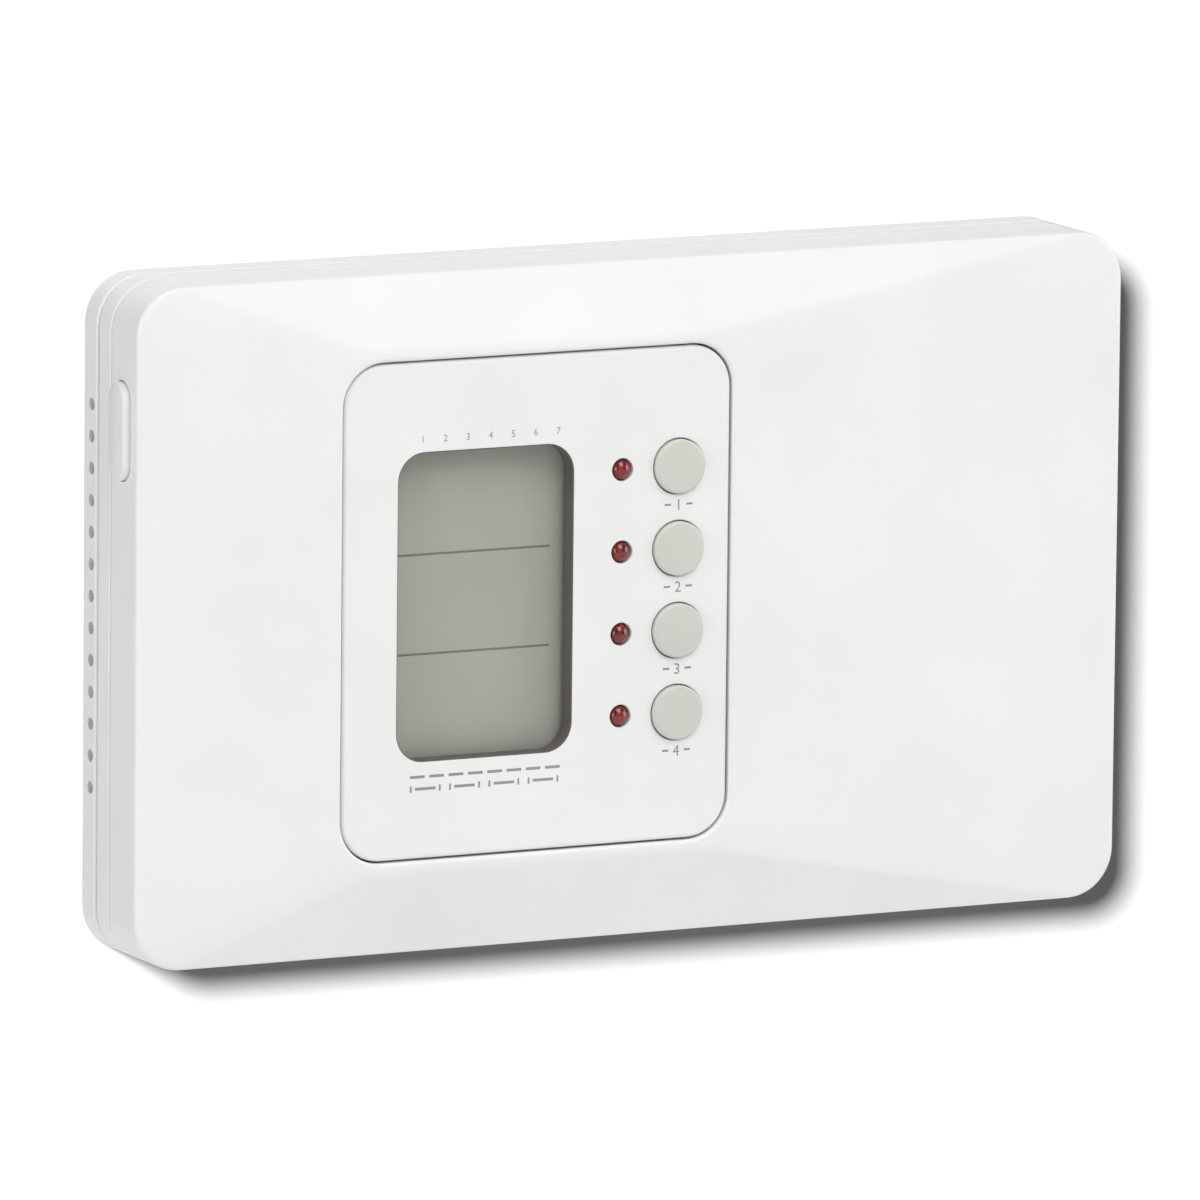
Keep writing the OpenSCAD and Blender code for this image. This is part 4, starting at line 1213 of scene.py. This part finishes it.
def camera():
    azimuth = math.radians(CAMERA_AZIMUTH)
    elevation = math.radians(CAMERA_ELEVATION)
    back = Vector((math.sin(azimuth) * math.cos(elevation), -math.cos(azimuth) * math.cos(elevation),
                   math.sin(elevation)))
    data = bpy.data.cameras.new("camera")
    data.lens = CAMERA_LENS
    data.clip_end = 100.0
    obj = bpy.data.objects.new("camera", data)
    turn = (-back).to_track_quat("-Z", "Y").to_matrix().to_4x4()
    roll = Matrix.Rotation(math.radians(CAMERA_ROLL), 4, "Z")
    obj.matrix_world = Matrix.Translation(AIM + back * CAMERA_DISTANCE) @ turn @ roll
    bpy.context.scene.collection.objects.link(obj)
    bpy.context.scene.camera = obj


def stage_plane(name, corners_at, brightness, one_sided=False):
    """A flat stage surface through four corners. A one-sided one can't be seen from behind."""
    mesh = bpy.data.meshes.new(name)
    mesh.from_pydata(corners_at, [], [range(len(corners_at))])
    obj = bpy.data.objects.new(name, mesh)
    bpy.context.scene.collection.objects.link(obj)
    look = Look(name)
    colour = (brightness, brightness, brightness)
    speckle = look.noise(40.0)
    look.set(Base_Color=look.colours(speckle, (0.3, shade(colour, 0.99)), (0.7, colour)), Roughness=0.9,
             Specular_IOR_Level=0.0)
    if one_sided:
        mix = look.node("ShaderNodeMixShader")
        clear = look.node("ShaderNodeBsdfTransparent")
        facing = look.node("ShaderNodeNewGeometry")
        output = look.tree.nodes["Material Output"]
        look.link(facing.outputs["Backfacing"], mix.inputs[0])
        look.link(look.shader.outputs[0], mix.inputs[1])
        look.link(clear.outputs[0], mix.inputs[2])
        look.link(mix.outputs[0], output.inputs["Surface"])
    mesh.materials.append(look.material)
    return obj


def aimed_light(name, kind, direction):
    """A light that shines along direction."""
    data = bpy.data.lights.new(name, kind)
    obj = bpy.data.objects.new(name, data)
    obj.rotation_mode = "QUATERNION"
    obj.rotation_quaternion = direction.to_track_quat("-Z", "Y")
    bpy.context.scene.collection.objects.link(obj)
    return obj


def studio():
    """A floor, a wall behind the timer, and soft lights. The photo is a cut-out with a drop shadow, so the
    wall has a sun of its own, and the soft lights reach everything but the wall. The wall is dim and
    strongly lit, and can't be seen by other surfaces, so that no light from it fills the drop shadow."""
    square = ((-1, -1), (1, -1), (1, 1), (-1, 1))
    stage_plane("floor", [(x * FLOOR_HALF, y * FLOOR_HALF, FLOOR_UP) for x, y in square], FLOOR_SHADE)
    wall_corners = [(x * WALL_HALF, WALL_GAP, WALL_HALF if level > 0 else FLOOR_UP) for x, level in square]
    wall = stage_plane("wall", wall_corners, WALL_SHADE, one_sided=True)
    wall.visible_diffuse = False
    wall.visible_glossy = False
    wall_only = bpy.data.collections.new("wall_only")
    wall_only.objects.link(wall)
    all_but_wall = bpy.data.collections.new("all_but_wall")
    all_but_wall.objects.link(wall)
    all_but_wall.collection_objects[0].light_linking.link_state = "EXCLUDE"

    sun = aimed_light("wall_sun", "SUN", SUN_TRAVEL)
    sun.data.energy = SUN_POWER
    sun.data.angle = SUN_ANGLE
    sun.light_linking.receiver_collection = wall_only
    for name, place, size, power in LIGHT_BOXES:
        light = aimed_light(name, "AREA", -Vector(place))
        light.location = place
        light.data.shape = "SQUARE"
        light.data.size = size
        light.data.energy = power
        light.light_linking.receiver_collection = all_but_wall
        light.light_linking.blocker_collection = all_but_wall

    world = bpy.data.worlds.new("world")
    world.use_nodes = True
    background = world.node_tree.nodes["Background"]
    background.inputs["Color"].default_value = (1.0, 1.0, 1.0, 1.0)
    background.inputs["Strength"].default_value = WORLD_STRENGTH
    bpy.context.scene.world = world
    bpy.context.scene.view_settings.view_transform = "Standard"


camera()
wall_plate()
mid_case()
front_door()
latch_tab()
latch_spring()
control_panel()
display_bezel()
node_plate("lcd_lens", "display_window", "window_clear", 0.8, 0.2, gap=DISPLAY_AIR)
node_plate("lcd_glass", "display_glass", "display_grey", 0.6, 0.1)
display_lines()
for channel in range(1, CHANNELS + 1):
    channel_button(channel)
    indicator_light(channel)
for key in range(1, KEYS + 1):
    program_key(key)
print_on_panel()
dress_cad_nodes()
studio()
